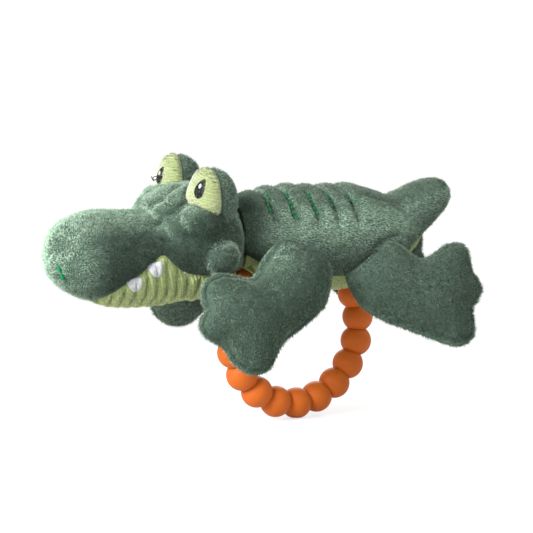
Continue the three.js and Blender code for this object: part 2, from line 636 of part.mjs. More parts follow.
add(headGroup, 'head_upper', headUpperShell, colours.plush, 0.95);
add(headGroup, 'lower_jaw', jawShell, colours.pale, 0.9);
add(headGroup, 'head_filling_upper', headFill.intersect(levelHalf(drumZ + gap.seam / 2, true)), colours.fill, 1);
add(headGroup, 'head_filling_lower', headFill.intersect(levelHalf(drumZ - gap.seam / 2, false)), colours.fill, 1);
for (const [word, side] of [['left', -1], ['right', 1]]) {
  add(headGroup, `eye_front_${word}`, eyeFront(side), colours.pale, 0.9);
  add(headGroup, `eye_back_${word}`, eyeBack(side), colours.plushDark, 0.95);
  add(headGroup, `pupil_${word}`, pupilOn(side), colours.black, 0.6);
  toothShares.forEach((along, i) => {
    add(headGroup, `tooth_${word}_${i + 1}`, toothOn(side, along), colours.white, 0.6);
  });
}
add(headGroup, 'rattle_cup', rattleCup(), colours.plastic, 0.4);
add(headGroup, 'rattle_cap', rattleCap(), colours.plastic, 0.4);
for (let i = 0; i < rattle.pellets; i += 1) {
  add(headGroup, `rattle_pellet_${i + 1}`, pelletAt(i), colours.pellet, 0.5);
}
add(torsoGroup, 'torso_back', torsoBack, colours.plush, 0.95);
add(torsoGroup, 'torso_belly', torsoBelly, colours.pale, 0.9);
add(torsoGroup, 'torso_filling', torsoFill, colours.fill, 1);
add(toy, 'ring_sleeve', ringSleeve, colours.pale, 0.9);
add(toy, 'teether_ring', teetherRing, colours.orange, 0.55);
for (const [name, limb] of Object.entries(legs)) {
  add(torsoGroup, name, legSolid(limb), colours.plush, 0.95);
}

export default toy;
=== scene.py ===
# Stuffed alligator threaded on a beaded teething ring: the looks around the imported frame.
# Shapes are drawn in millimetres in the frame of the torso or the head, and set in place in metres.
import bpy
import bmesh
import json
import math
import numpy as np
from mathutils import Matrix, Vector
from mathutils.bvhtree import BVHTree
from mathutils.geometry import delaunay_2d_cdt
from mathutils.kdtree import KDTree


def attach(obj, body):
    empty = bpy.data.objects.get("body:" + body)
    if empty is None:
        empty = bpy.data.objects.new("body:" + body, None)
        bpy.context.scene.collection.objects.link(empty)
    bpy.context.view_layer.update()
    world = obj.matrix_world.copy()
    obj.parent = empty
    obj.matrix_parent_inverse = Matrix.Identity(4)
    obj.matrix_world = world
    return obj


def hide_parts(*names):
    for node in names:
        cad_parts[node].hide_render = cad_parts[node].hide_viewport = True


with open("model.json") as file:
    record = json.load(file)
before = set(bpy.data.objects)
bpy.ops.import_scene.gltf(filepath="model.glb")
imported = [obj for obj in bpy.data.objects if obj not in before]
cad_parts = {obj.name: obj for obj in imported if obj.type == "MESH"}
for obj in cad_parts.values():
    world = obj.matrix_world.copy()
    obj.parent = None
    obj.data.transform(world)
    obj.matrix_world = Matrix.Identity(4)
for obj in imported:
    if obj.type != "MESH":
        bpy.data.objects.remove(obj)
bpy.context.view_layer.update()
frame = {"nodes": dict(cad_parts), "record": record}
print("stage: frame loaded")

mm = 0.001
scene = bpy.context.scene
turning = next(j for j in frame["record"]["behaviour"]["joints"] if j["name"] == "ring_turn")
ringHeight = (Vector(turning["pos_m"]) / mm).z
toMetres = Matrix.Scale(mm, 4)
sides = {"left": -1, "right": 1}

fabric = {"wall": 1.5, "swing": 1.3, "nap": 0.75, "dip": 0.8, "least": 0.9}
voxel = 0.65
torso = {
    "length": 98, "width": 44, "height": 37, "turnDeg": 10, "axisZ": 70.3, "startX": -33, "squareness": 2.15,
    "grid": (200, 160), "firstGroove": -16.5, "groovePitch": 8.05, "grooves": 5, "grooveDepth": 1.8,
    "grooveWidth": 1.2,
}
head = {
    "length": 72, "width": 51, "height": 42, "turnDeg": 5, "rollDeg": 8.5, "startX": -98, "axisZ": 68.8,
    "squareness": 2.2, "grid": (160, 180),
}
eye = {
    "width": 18.5, "height": 25, "front": 6.5, "back": 12, "spacing": 30, "behindNose": 53.5, "aboveAxis": 18,
    "splayDeg": 6, "seam": 1.4, "gap": 0.03, "inset": 0.55,
}
channel = {"halfWidth": 9.5, "inner": 21, "outer": 37.2}
neckBall = {"radius": 14.2, "socket": 14.7, "gap": 0.4}


def turned(degrees, axis):
    return Matrix.Rotation(math.radians(degrees), 4, axis)


neck = Vector((torso["startX"], 0, torso["axisZ"]))
atNeck = Matrix.Translation(neck)
torsoPose = turned(-torso["turnDeg"], "Z")
headPose = torsoPose @ atNeck @ turned(head["turnDeg"], "Z") @ turned(head["rollDeg"], "X") @ atNeck.inverted()
headInTorso = torsoPose.inverted() @ headPose


# Mesh helpers
def linked(name, data):
    obj = bpy.data.objects.new(name, data)
    scene.collection.objects.link(obj)
    return obj


def newMesh(name, verts, faces, matrix=None):
    mesh = bpy.data.meshes.new(name)
    mesh.from_pydata([tuple(v) for v in verts], [], [tuple(int(i) for i in f) for f in faces])
    if matrix is not None:
        mesh.transform(matrix)
    mesh.update()
    return linked(name, mesh)


def evaluatedMesh(obj):
    bpy.context.view_layer.update()
    return bpy.data.meshes.new_from_object(obj.evaluated_get(bpy.context.evaluated_depsgraph_get()))


def bake(obj):
    mesh = evaluatedMesh(obj)
    obj.modifiers.clear()
    old, obj.data = obj.data, mesh
    mesh.name = obj.name
    if old.users == 0:
        bpy.data.meshes.remove(old)
    return obj


def discard(*objs):
    for obj in objs:
        data = obj.data
        bpy.data.objects.remove(obj)
        if data.users == 0:
            bpy.data.meshes.remove(data)


def vectorsOf(layer, key):
    out = np.empty(len(layer) * 3)
    layer.foreach_get(key, out)
    return out.reshape(-1, 3)


def points(obj):
    return vectorsOf(obj.data.vertices, "co")


def pointNormals(obj):
    return vectorsOf(obj.data.vertex_normals, "vector")


def setPoints(obj, where):
    obj.data.vertices.foreach_set("co", np.ascontiguousarray(where, dtype=np.float32).ravel())
    obj.data.update()


def push(obj, amount):
    setPoints(obj, points(obj) + pointNormals(obj) * amount[:, None])


def twin(obj, name):
    return linked(name, obj.data.copy())


def remesh(obj, size, smooth):
    mod = obj.modifiers.new("remesh", "REMESH")
    mod.mode = "VOXEL"
    mod.voxel_size = size
    even = obj.modifiers.new("even", "SMOOTH")
    even.factor = 0.5
    even.iterations = smooth
    return bake(obj)


def joined(name, objs):
    verts, faces, base = [], [], 0
    for obj in objs:
        verts.append(points(obj))
        faces += [[base + i for i in p.vertices] for p in obj.data.polygons]
        base += len(obj.data.vertices)
    discard(*objs)
    return newMesh(name, np.vstack(verts), faces)


def combine(obj, tool, operation, keep=False):
    mod = obj.modifiers.new("combine", "BOOLEAN")
    mod.operation = operation
    mod.solver = "MANIFOLD"
    mod.object = tool
    bake(obj)
    if not keep:
        discard(tool)
    return obj


# Cuts a lining out of a form and leaves the cover at least a given thickness
def hollow(outer, lining, name):
    core = twin(outer, "core")
    push(core, np.full(len(core.data.vertices), -fabric["least"]))
    combine(lining, remesh(core, 1.0, 2), "INTERSECT")
    return combine(twin(outer, name), lining, "DIFFERENCE")


# Filled cloth: blows up a coarse copy of a form between its seams, and moves the form's own points
# by the same amounts. The cloth is worked at ten times its size, where its stiffness suits it.
cloth = {"scale": 0.01, "pressure": 40.0, "frames": 20, "stiffness": 1.5, "bending": 0.1}


def swell(obj, held, size, cap):
    pad = remesh(twin(obj, "pad"), size, 1)
    rest = points(pad)
    fixed = np.clip(held(rest), 0, 1)
    group = pad.vertex_groups.new(name="held")
    for i, weight in enumerate(fixed):
        if weight > 0.02:
            group.add([i], float(weight), "REPLACE")
    setPoints(pad, rest * cloth["scale"])
    mod = pad.modifiers.new("cloth", "CLOTH")
    mod.settings.quality = 4
    mod.settings.use_pressure = True
    mod.settings.uniform_pressure_force = cloth["pressure"]
    mod.settings.tension_stiffness = mod.settings.compression_stiffness = cloth["stiffness"]
    mod.settings.bending_stiffness = cloth["bending"]
    mod.settings.vertex_group_mass = "held"
    mod.settings.effector_weights.gravity = 0
    mod.collision_settings.use_collision = False
    mod.collision_settings.use_self_collision = False
    mod.point_cache.frame_start, mod.point_cache.frame_end = 1, cloth["frames"]
    for step in range(1, cloth["frames"] + 1):
        scene.frame_set(step)
    bake(pad)
    scene.frame_set(1)
    move = points(pad) / cloth["scale"] - rest
    far = np.linalg.norm(move, axis=1, keepdims=True)
    move *= np.minimum(1, cap / np.maximum(far, 1e-9)) * (1 - fixed[:, None])
    tree = KDTree(len(rest))
    for i, q in enumerate(rest):
        tree.insert(q, i)
    tree.balance()
    where = points(obj)
    out = np.zeros_like(where)
    for i, q in enumerate(where):
        near = tree.find_n(q, 4)
        weight = [1 / (d + 0.2 * size) ** 2 for _, _, d in near]
        out[i] = sum(w * move[j] for w, (_, j, _) in zip(weight, near)) / sum(weight)
    setPoints(obj, where + out)
    print("cloth", obj.name, len(rest), "mean", round(float(far.mean()), 2), "most", round(float(far.max()), 2))
    discard(pad)


def outward(obj):
    bm = bmesh.new()
    bm.from_mesh(obj.data)
    bmesh.ops.recalc_face_normals(bm, faces=bm.faces)
    bm.to_mesh(obj.data)
    bm.free()
    return obj


def treeOf(obj):
    return BVHTree.FromPolygons([v.co for v in obj.data.vertices], [p.vertices for p in obj.data.polygons])


def attribute(obj, name, values, kind="FLOAT", domain="POINT"):
    layer = obj.data.attributes.new(name, kind, domain)
    key = "vector" if kind == "FLOAT_VECTOR" else "value"
    layer.data.foreach_set(key, np.ascontiguousarray(values, bool if kind == "BOOLEAN" else np.float32).ravel())


# Curves and fields
def smoothCurve(a, b, c, d, w):
    m0, m1 = 0.5 * (c - a), 0.5 * (d - b)
    return (2 * b - 2 * c + m0 + m1) * w ** 3 + (3 * c - 3 * b - 2 * m0 - m1) * w ** 2 + m0 * w + b


def spline(knots, t):
    knots = np.asarray(knots, float)
    last = len(knots) - 1
    p = np.clip(np.asarray(t) * last, 0, last - 1e-9)
    i = p.astype(int)
    k = np.vstack([2 * knots[0] - knots[1], knots, 2 * knots[-1] - knots[-2]])
    return smoothCurve(k[i], k[i + 1], k[i + 2], k[i + 3], (p - i)[:, None])


def closedSpline(knots, count):
    k = np.asarray(knots, float)
    n = len(k)
    t = np.arange(count) * n / count
    i = t.astype(int)
    return smoothCurve(k[i - 1], k[i % n], k[(i + 1) % n], k[(i + 2) % n], (t - i)[:, None])


def pathDistance(where, path):
    best = np.full(len(where), 1e9)
    path = np.asarray(path, float)
    for a, b in zip(path[:-1], path[1:]):
        t = np.clip(((where - a) @ (b - a)) / ((b - a) @ (b - a)), 0, 1)
        best = np.minimum(best, np.linalg.norm(where - (a + t[:, None] * (b - a)), axis=1))
    return best


def seamDistance(p, line):
    return pathDistance(p[:, [0, 2]], line)


def bump(distance, width):
    return np.exp(-(distance / width) ** 2)


def shaded(base, share):
    return base + (1 - base) * share


def smoothstep(x, low, high):
    t = np.clip((x - low) / (high - low), 0, 1)
    return t * t * (3 - 2 * t)


def waves(where, size, seed):
    rng = np.random.default_rng(seed)
    total = np.zeros(len(where))
    for _ in range(8):
        way = rng.normal(size=3)
        way /= np.linalg.norm(way)
        total += np.sin(where @ way * (2 * math.pi / (size * rng.uniform(0.6, 1.6))) + rng.uniform(0, 6.28))
    return total / 8 ** 0.5


def stray(p, seed):
    broad = np.stack([waves(p, 12, seed + k) for k in range(3)], -1)
    return 0.4 * broad + 0.3 * np.stack([waves(p, 3.5, seed + 3 + k) for k in range(3)], -1)


def tufts(p, seed):
    return 1 + 0.22 * np.clip(waves(p, 2.2, seed), -1, 1)


def flow(p, way):
    return np.tile(np.array(way, float), (len(p), 1))


def mirrored(where, side):
    return np.array(where) * (1, side, 1)


def moved(p, matrix):
    m = np.array(matrix)
    return p @ m[:3, :3].T + m[:3, 3]


# Forms that repeat the solids' stations, drawn finely
def band(a, b, n):
    return [(a + k, b + k, b + (k + 1) % n, a + (k + 1) % n) for k in range(n)]


def stationsOf(form, shares):
    half, rise = form["width"] / 2, form["height"] / 2
    return [(form["startX"] + a * form["length"], form["axisZ"] + r * rise, h * half, u * rise, d * rise)
            for a, r, h, u, d in shares]


def lineOf(form, shares):
    knots = [(form["startX"] + a * form["length"], form["axisZ"] + r * form["height"] / 2) for a, r in shares]
    return spline(knots, np.linspace(0, 1, 90))


def formOf(form, inset, matrix=None):
    steps, around = form["grid"]
    s = np.array(form["stations"], float)
    x = s[:, 0].copy()
    middle, share = (x[0] + x[-1]) / 2, 1 - 2 * inset / (x[-1] - x[0])
    s[:, 0] = middle + (x - middle) * share
    s[:, 2:] = np.maximum(s[:, 2:] - inset, s[:, 2:] * 0.5)
    t = (1 - np.cos(np.pi * np.arange(steps + 1) / steps)) / 2
    path = spline(s, t)
    ahead = (spline(s, np.clip(t + 1e-4, 0, 1)) - spline(s, np.clip(t - 1e-4, 0, 1)))[:, :2]
    tangent = ahead / np.linalg.norm(ahead, axis=1)[:, None]
    angle = 2 * np.pi * np.arange(around) / around
    c, n = np.cos(angle), np.sin(angle)
    across = np.sign(c) * np.abs(c) ** (2 / form["squareness"])
    height = np.where(n > 0, path[:, 3, None], path[:, 4, None]) * np.sign(n) * np.abs(n) ** (2 / form["squareness"])
    verts = np.stack([path[:, 0, None] - tangent[:, 1, None] * height, path[:, 2, None] * across,
                      path[:, 1, None] + tangent[:, 0, None] * height], -1).reshape(-1, 3)
    faces = [f for i in range(steps) for f in band(i * around, (i + 1) * around, around)]
    faces += [tuple(range(around)), tuple(reversed(range(steps * around, (steps + 1) * around)))]
    return outward(newMesh("form", verts, faces, matrix))


def ellipsoid(radii, matrix, backRadius=None, rows=48, around=72):
    a = np.pi * np.arange(1, rows)[:, None] / rows
    b = 2 * np.pi * np.arange(around) / around
    rings = np.stack([np.sin(a) * np.cos(b), np.sin(a) * np.sin(b), np.cos(a) + 0 * b], -1).reshape(-1, 3)
    v = np.vstack([(0, 0, 1), rings, (0, 0, -1)]) * np.array(radii)
    if backRadius is not None:
        v[v[:, 0] > 0, 0] *= backRadius / radii[0]
    last = len(v) - 1
    low = 1 + (rows - 2) * around
    faces = [(0, 1 + k, 1 + (k + 1) % around) for k in range(around)]
    faces += [f for i in range(rows - 2) for f in band(1 + i * around, 1 + (i + 1) * around, around)]
    faces += [(last, low + (k + 1) % around, low + k) for k in range(around)]
    return newMesh("ball", v, faces, matrix)


def sideSlab(outline, halfWidth, matrix=None):
    n = len(outline)
    verts = [(x, y, z) for y in (-halfWidth, halfWidth) for x, z in outline]
    faces = [tuple(range(n)), tuple(reversed(range(n, 2 * n)))]
    faces += [(i, i + n, (i + 1) % n + n, (i + 1) % n) for i in range(n)]
    return outward(newMesh("slab", verts, faces, matrix))


# Parts a cover along its seam into the piece above and the piece below
def parted(shell, form, line, gap):
    def below(lift):
        floor = form["axisZ"] - form["height"]
        outline = [(x, z + lift) for x, z in line]
        return sideSlab([(outline[0][0], floor), *outline, (outline[-1][0], floor)], form["width"])

    upper = combine(twin(shell, "upper"), below(gap), "DIFFERENCE")
    return upper, combine(shell, below(-gap), "INTERSECT")


# Materials and node trees
class Nodes:
    def __init__(self, tree):
        self.tree = tree

    def make(self, kind, inputs=None, **settings):
        made = self.tree.nodes.new(kind)
        for key, value in settings.items():
            setattr(made, key, value)
        for key, value in (inputs or {}).items():
            if isinstance(value, bpy.types.NodeSocket):
                self.tree.links.new(value, made.inputs[key])
            else:
                made.inputs[key].default_value = value
        return made

    def add(self, kind, inputs=None, output=0, **settings):
        return self.make(kind, inputs, **settings).outputs[output]

    def math(self, operation, a, b=0.0, c=0.0):
        return self.add("ShaderNodeMath", {0: a, 1: b, 2: c}, operation=operation)

    def times(self, a, b):
        return self.math("MULTIPLY", a, b)

    def scaled(self, value, gain, base):
        return self.math("MULTIPLY_ADD", value, gain, base)

    def place(self):
        return self.add("ShaderNodeTexCoord", output="Object")

    def noise(self, scale, detail=2.0, roughness=0.5, where=None):
        return self.add("ShaderNodeTexNoise", {"Vector": where or self.place(), "Scale": scale, "Detail": detail,
                                               "Roughness": roughness}, "Fac")

    def read(self, name, output="Fac"):
        return self.add("ShaderNodeAttribute", None, output, attribute_name=name)

    def mix(self, share, first, second):
        return self.add("ShaderNodeMix", {0: share, 6: first, 7: second}, 2, data_type="RGBA")

    def relief(self, height, strength, distance):
        return self.add("ShaderNodeBump", {"Height": height, "Strength": strength, "Distance": distance})

    def surface(self, colour, roughness, specular, normal, more=None):
        self.make("ShaderNodeOutputMaterial", {0: self.add("ShaderNodeBsdfPrincipled", {
            "Base Color": colour, "Roughness": roughness, "Specular IOR Level": specular, "Normal": normal,
            **(more or {})})})

    def named(self, name, kind="FLOAT"):
        made = self.make("GeometryNodeInputNamedAttribute", {"Name": name}, data_type=kind)
        return next(s for s in made.outputs if s.enabled and s.name == "Attribute")

    def instances(self, spots, instance, turn, size, material, keep=True):
        placed = self.add("GeometryNodeInstanceOnPoints", {
            "Points": spots, "Selection": keep, "Instance": instance, "Rotation": turn, "Scale": size})
        real = self.add("GeometryNodeRealizeInstances", {0: placed})
        done = self.add("GeometryNodeSetMaterial", {"Geometry": real, "Material": material})
        self.make("NodeGroupOutput", {0: done})


materials = {}


def newMaterial(name):
    material = bpy.data.materials.new(name)
    material.use_nodes = True
    material.node_tree.nodes.clear()
    materials[name] = material
    return Nodes(material.node_tree)


def tint(colour, share=1.0):
    return (*(min(1, c * share) for c in colour), 1.0)


def pileMaterial(name, root, tip, patch, sheen):
    n = newMaterial(name)
    shade = n.scaled(n.read("shade"), 0.7, 0.65)
    broad = n.scaled(n.noise(90, 3, 0.6), patch, 1 - patch / 2)
    fine = n.scaled(n.noise(1150, 2, 0.7), 8.8 * patch, 1 - 4.4 * patch)
    colour = n.mix(n.math("POWER", n.read("tip"), 0.9), tint(root), tint(tip))
    # Painted shade and painted light: the fibres' colour is darkened or lightened by the skin's painted-shading
    # attribute
    paintedShadingLevel = n.scaled(n.read("paintedShading"), -0.75, 1.0)
    level = n.times(n.times(shade, broad), n.times(fine, paintedShadingLevel))
    lit = n.add("ShaderNodeHueSaturation", {"Value": level, "Color": colour})
    skin = n.add("ShaderNodeVectorTransform", {0: n.read("surface", "Vector")},
                 vector_type="NORMAL", convert_from="OBJECT", convert_to="WORLD")
    own = n.add("ShaderNodeNewGeometry", output="Normal")
    blended = n.add("ShaderNodeMix", {0: 0.45, 4: own, 5: skin}, 1, data_type="VECTOR")
    normal = n.add("ShaderNodeVectorMath", {0: blended}, operation="NORMALIZE")
    n.surface(lit, 0.85, 0.15, normal, {"Sheen Weight": sheen, "Sheen Roughness": 0.45, "Sheen Tint": tint(tip)})


def groundMaterial(name, colour, ribs=0.0):
    n = newMaterial(name)
    height = fine = n.noise(1400, 3, 0.7)
    shade = n.mix(fine, tint(colour, 0.7), tint(colour, 1.25))
    if ribs:
        wave = n.math("SINE", n.times(n.read("ribs"), 2 * math.pi))
        height = n.scaled(wave, ribs, fine)
        # The ribs' crests are painted lighter than their valleys: painted shade in the valleys between the ribs, on
        # top of their relief
        shade = n.mix(n.scaled(wave, 0.5, 0.5), shade, tint(colour, 1.15))
    n.surface(shade, 0.95, 0.1, n.relief(height, 0.6, 0.0003))


def threadMaterial(name, colour, gloss):
    n = newMaterial(name)
    strands = n.add("ShaderNodeTexWave", {
        "Vector": n.place(), "Scale": 900, "Distortion": 3.0, "Detail": 2.0, "Detail Scale": 4.0}, "Fac",
        bands_direction="DIAGONAL")
    shade = n.mix(strands, tint(colour, 0.55), tint(colour))
    n.surface(shade, gloss, 0.15, n.relief(strands, 0.7, 0.0002))


def satinMaterial(name, colour):
    n = newMaterial(name)
    squeezed = n.add("ShaderNodeMapping", {"Vector": n.place(), "Scale": (2000, 2000, 800)})
    strands = n.noise(1.0, 2.0, 0.6, squeezed)
    shade = n.mix(n.scaled(strands, 2.2, -0.6), tint(colour, 0.5), tint(colour))
    n.surface(shade, 0.45, 0.5, n.relief(strands, 0.8, 0.0003))


def mouldedMaterial(name, colour, roughness, grain, subsurface=0.0):
    n = newMaterial(name)
    speck = n.noise(2600, 2, 0.6)
    shade = n.mix(n.noise(60, 2), tint(colour, 0.9), tint(colour, 1.06))
    n.surface(shade, n.scaled(speck, 0.16, roughness - 0.08), 0.3, n.relief(speck, grain, 0.0001), {
        "Subsurface Weight": subsurface, "Subsurface Radius": (0.004, 0.0015, 0.0004), "Subsurface Scale": 0.5})


pileMaterial("plushPile", (0.055, 0.092, 0.066), (0.340, 0.470, 0.355), 0.34, 0.26)
pileMaterial("palePile", (0.27, 0.33, 0.13), (0.72, 0.80, 0.44), 0.16, 0.2)
pileMaterial("eyePile", (0.35, 0.39, 0.23), (0.76, 0.79, 0.59), 0.13, 0.15)
groundMaterial("plushGround", (0.07, 0.115, 0.083))
groundMaterial("paleGround", (0.33, 0.40, 0.17), 0.8)
groundMaterial("filling", (0.8, 0.79, 0.74))
threadMaterial("greenThread", (0.0, 0.25, 0.075), 0.35)
threadMaterial("blackThread", (0.008, 0.008, 0.009), 0.55)
threadMaterial("whiteThread", (0.86, 0.86, 0.88), 0.4)
satinMaterial("satin", (0.52, 0.53, 0.55))
mouldedMaterial("silicone", (0.48, 0.098, 0.003), 0.6, 0.12, 0.05)
mouldedMaterial("drum", (0.74, 0.79, 0.82), 0.35, 0.1)
mouldedMaterial("pellet", (0.46, 0.04, 0.03), 0.3, 0.1)


def fitted(obj, body):
    obj.data.polygons.foreach_set("use_smooth", [True] * len(obj.data.polygons))
    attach(obj, body)
    return obj


def dress(obj, name, pose, body, material, replaces=()):
    obj.name = obj.data.name = name
    obj.data.transform(toMetres @ pose)
    obj.data.materials.clear()
    obj.data.materials.append(materials[material])
    obj.data.update()
    fitted(obj, body)
    if replaces:
        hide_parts(*replaces)


# Pile: tapered fibres on the open side of a skin, leaning with its comb and thinned by its ribs
def nodeGroup(name, sockets):
    tree = bpy.data.node_groups.new(name, "GeometryNodeTree")
    for label, kind in {"Geometry": "Geometry", **sockets}.items():
        tree.interface.new_socket(label, in_out="INPUT", socket_type="NodeSocket" + kind)
    tree.interface.new_socket("Geometry", in_out="OUTPUT", socket_type="NodeSocketGeometry")
    return tree, Nodes(tree), tree.nodes.new("NodeGroupInput").outputs


def pileTree():
    tree, n, given = nodeGroup("pile", {
        "Density": "Float", "Length": "Float", "Width": "Float", "Lean": "Float", "Jitter": "Float",
        "RibCut": "Float", "Seed": "Int", "Material": "Material"})

    def vector(operation, a, b):
        return n.add("ShaderNodeVectorMath", {0: a, "Scale" if operation == "SCALE" else 1: b}, operation=operation)

    def random(kind, low, high, offset):
        made = n.make("FunctionNodeRandomValue", data_type=kind)
        live = [s for s in made.inputs if s.enabled]
        live[0].default_value, live[1].default_value = low, high
        tree.links.new(n.math("ADD", given["Seed"], offset), made.inputs["Seed"])
        return next(s for s in made.outputs if s.enabled)

    def stored(geometry, name, kind, value):
        made = n.make("GeometryNodeStoreNamedAttribute", {"Geometry": geometry, "Name": name},
                      data_type=kind, domain="POINT")
        tree.links.new(value, next(s for s in made.inputs if s.enabled and s.name == "Value"))
        return made.outputs[0]

    spread = n.make("GeometryNodeDistributePointsOnFaces", {
        "Mesh": given["Geometry"], "Density": given["Density"], "Seed": given["Seed"],
        "Selection": n.named("open", "BOOLEAN")}, distribute_method="RANDOM")
    spots = stored(spread.outputs["Points"], "surface", "FLOAT_VECTOR", spread.outputs["Normal"])
    spots = stored(spots, "shade", "FLOAT", random("FLOAT", 0.0, 1.0, 11))
    combed = vector("SCALE", n.named("comb", "FLOAT_VECTOR"), given["Lean"])
    loose = vector("SCALE", random("FLOAT_VECTOR", (-1, -1, -1), (1, 1, 1), 23), given["Jitter"])
    way = vector("ADD", vector("ADD", n.named("surface", "FLOAT_VECTOR"), combed), loose)
    turn = n.add("FunctionNodeAlignRotationToVector", {"Vector": way}, axis="Z")
    size = n.times(n.times(n.named("nap"), random("FLOAT", 0.7, 1.15, 37)), given["Length"])
    stretch = n.add("ShaderNodeCombineXYZ", {0: given["Width"], 1: given["Width"], 2: size})
    blade = n.add("GeometryNodeMeshCone", {
        "Vertices": 3, "Side Segments": 1, "Radius Top": 0.0, "Radius Bottom": 1.0, "Depth": 1.0}, "Mesh")
    blade = stored(blade, "tip", "FLOAT", n.add("ShaderNodeSeparateXYZ", {0: n.add("GeometryNodeInputPosition")}, 2))
    rib = n.math("SINE", n.times(n.named("ribs"), 2 * math.pi))
    n.instances(spots, blade, turn, stretch, given["Material"], n.math("GREATER_THAN", rib, given["RibCut"]))
    return tree


def stitchTree():
    tree, n, given = nodeGroup("stitches", {"Radius": "Float", "Material": "Material"})
    thread = n.add("GeometryNodeMeshUVSphere", {"Segments": 8, "Rings": 7, "Radius": 1.0}, "Mesh")
    turn = n.add("FunctionNodeAlignRotationToVector", {"Vector": n.named("along", "FLOAT_VECTOR")}, axis="X")
    size = n.add("ShaderNodeCombineXYZ", {0: n.named("half"), 1: given["Radius"], 2: given["Radius"]})
    spots = n.add("GeometryNodeMeshToPoints", {"Mesh": given["Geometry"]})
    n.instances(spots, thread, turn, size, given["Material"])
    return tree


pileNodes, stitchNodes = pileTree(), stitchTree()


def runNodes(obj, tree, values):
    mod = obj.modifiers.new("nodes", "NODES")
    mod.node_group = tree
    ids = {s.name: s.identifier for s in tree.interface.items_tree if s.in_out == "INPUT"}
    for name, value in values.items():
        mod[ids[name]] = value
    return bake(obj)


def pile(skin, name, body, stuff, seed, keep=None):
    fur = twin(skin, name)
    if keep is not None:
        layer = fur.data.attributes["open"].data
        layer.foreach_set("value", [a.value and keep(p.center) for a, p in zip(layer, fur.data.polygons)])
    runNodes(fur, pileNodes, {
        "Density": stuff["perSquareMm"] * 1.0 * 1e6, "Length": stuff["length"] * mm,
        "Width": stuff["width"] * mm * 1.0, "Lean": stuff["lean"], "Jitter": stuff["jitter"],
        "RibCut": stuff["ribCut"], "Seed": seed, "Material": materials[stuff["pile"]]})
    fitted(fur, body)
    print("pile", name, len(fur.data.polygons))


# Marks the open side of a skin, the length of its nap, its comb and its ribs, and its painted shading: painted shade
# and painted light that darken or lighten its nap there, for how light falls on it and for shade in its creases and
# seams.
# Called before the skin is set in metres; the comb is turned with it.
def mark(skin, outer, pose, comb, nap, ribs, paintedShading, reach=0.08):
    where, up = points(skin), pointNormals(skin)
    tree = treeOf(outer)
    onOuter = np.array([tree.find_nearest(Vector(p))[3] < reach for p in where])
    openFace = np.array([all(onOuter[i] for i in p.vertices) for p in skin.data.polygons])
    attribute(skin, "open", openFace, "BOOLEAN", "FACE")
    attribute(skin, "nap", nap(where))
    way = comb(where)
    way = way - up * (way * up).sum(1, keepdims=True)
    attribute(skin, "comb", way @ np.array(pose.to_3x3()).T, "FLOAT_VECTOR")
    # Painted shading: above 0 is painted shade and below 0 is painted light on the nap
    attribute(skin, "paintedShading", np.zeros(len(where)) if paintedShading is None else np.clip(paintedShading(where, up), -1, 1))
    if ribs is not None:
        attribute(skin, "ribs", ribs(where))


plush = {
    "slot": "plush", "ground": "plushGround", "pile": "plushPile",
    "perSquareMm": 7.8, "length": 1.2, "width": 0.12, "lean": 1.05, "jitter": 0.5, "ribCut": -2.0,
}
pale = {
    "slot": "ribbed_cloth", "ground": "paleGround", "pile": "palePile",
    "perSquareMm": 10.0, "length": 0.7, "width": 0.1, "lean": 0.35, "jitter": 0.4, "ribCut": -0.75,
}
eyeCloth = {**pale, "pile": "eyePile", "perSquareMm": 13.0, "lean": 0.4, "ribCut": -0.8}


# Sews a skin: marks it, sets it in place for its solid and grows its piles, each from a seed
def sew(skin, stuff, outer, body, name, solid, piles, comb, nap, ribs=None, paintedShading=None):
    pose = headPose if body == "head" else torsoPose
    mark(skin, outer, pose, comb, nap, ribs, paintedShading)
    dress(skin, name, pose, body, stuff["ground"], [solid])
    for pileName, (seed, *keep) in piles.items():
        pile(skin, pileName, body, stuff, seed, *keep)


# Head
head["stations"] = stationsOf(head, [
    (0, -0.18, 0.08, 0.1, 0.1), (0.02, -0.18, 0.34, 0.36, 0.34), (0.09, -0.17, 0.6, 0.6, 0.6),
    (0.21, -0.15, 0.76, 0.7, 0.79), (0.35, -0.14, 0.79, 0.69, 0.89), (0.54, -0.12, 0.84, 0.7, 0.91),
    (0.62, -0.06, 0.92, 0.94, 0.92), (0.68, -0.02, 0.98, 1.04, 0.93), (0.76, 0, 1, 1.04, 0.95),
    (0.86, 0, 0.94, 0.98, 0.88), (0.95, 0.02, 0.7, 0.74, 0.62), (1, 0.02, 0.26, 0.3, 0.26),
])
mouthLine = lineOf(head, [
    (0.16, -1.3), (0.2, -0.94), (0.26, -0.7), (0.33, -0.47), (0.4125, -0.24), (0.495, 0.01),
    (0.55, -0.13), (0.61, -0.28), (0.7, -0.33), (0.85, -0.32), (0.95, -0.4), (1.04, -0.5),
])
folds = [
    ([(-64.3, -3.2, 80.5), (-58.1, -7.7, 86.3), (-47.7, -1.5, 90.3)], 0.8, 1.5),
    ([(-61.6, -12.6, 78.4), (-56.6, -15.3, 83.5), (-51.2, -15.2, 86.5)], 1.0, 1.4),
    ([(-43.5, -24.5, 82.5), (-42.5, -26.0, 77), (-42.0, -26.0, 72)], 0.8, 0.8),
]
cheek = {"place": (-41.6, 22.8, 68.4), "radii": (6.5, 5.8, 6.0)}
eyePad = {"place": (-46.3, 17.0, 80.2), "radii": (9.0, 8.4, 7.3)}


def eyePlace(side):
    return Matrix.Translation((head["startX"] + eye["behindNose"], side * eye["spacing"] / 2,
                               head["axisZ"] + eye["aboveAxis"])) @ turned(-side * eye["splayDeg"], "Z")


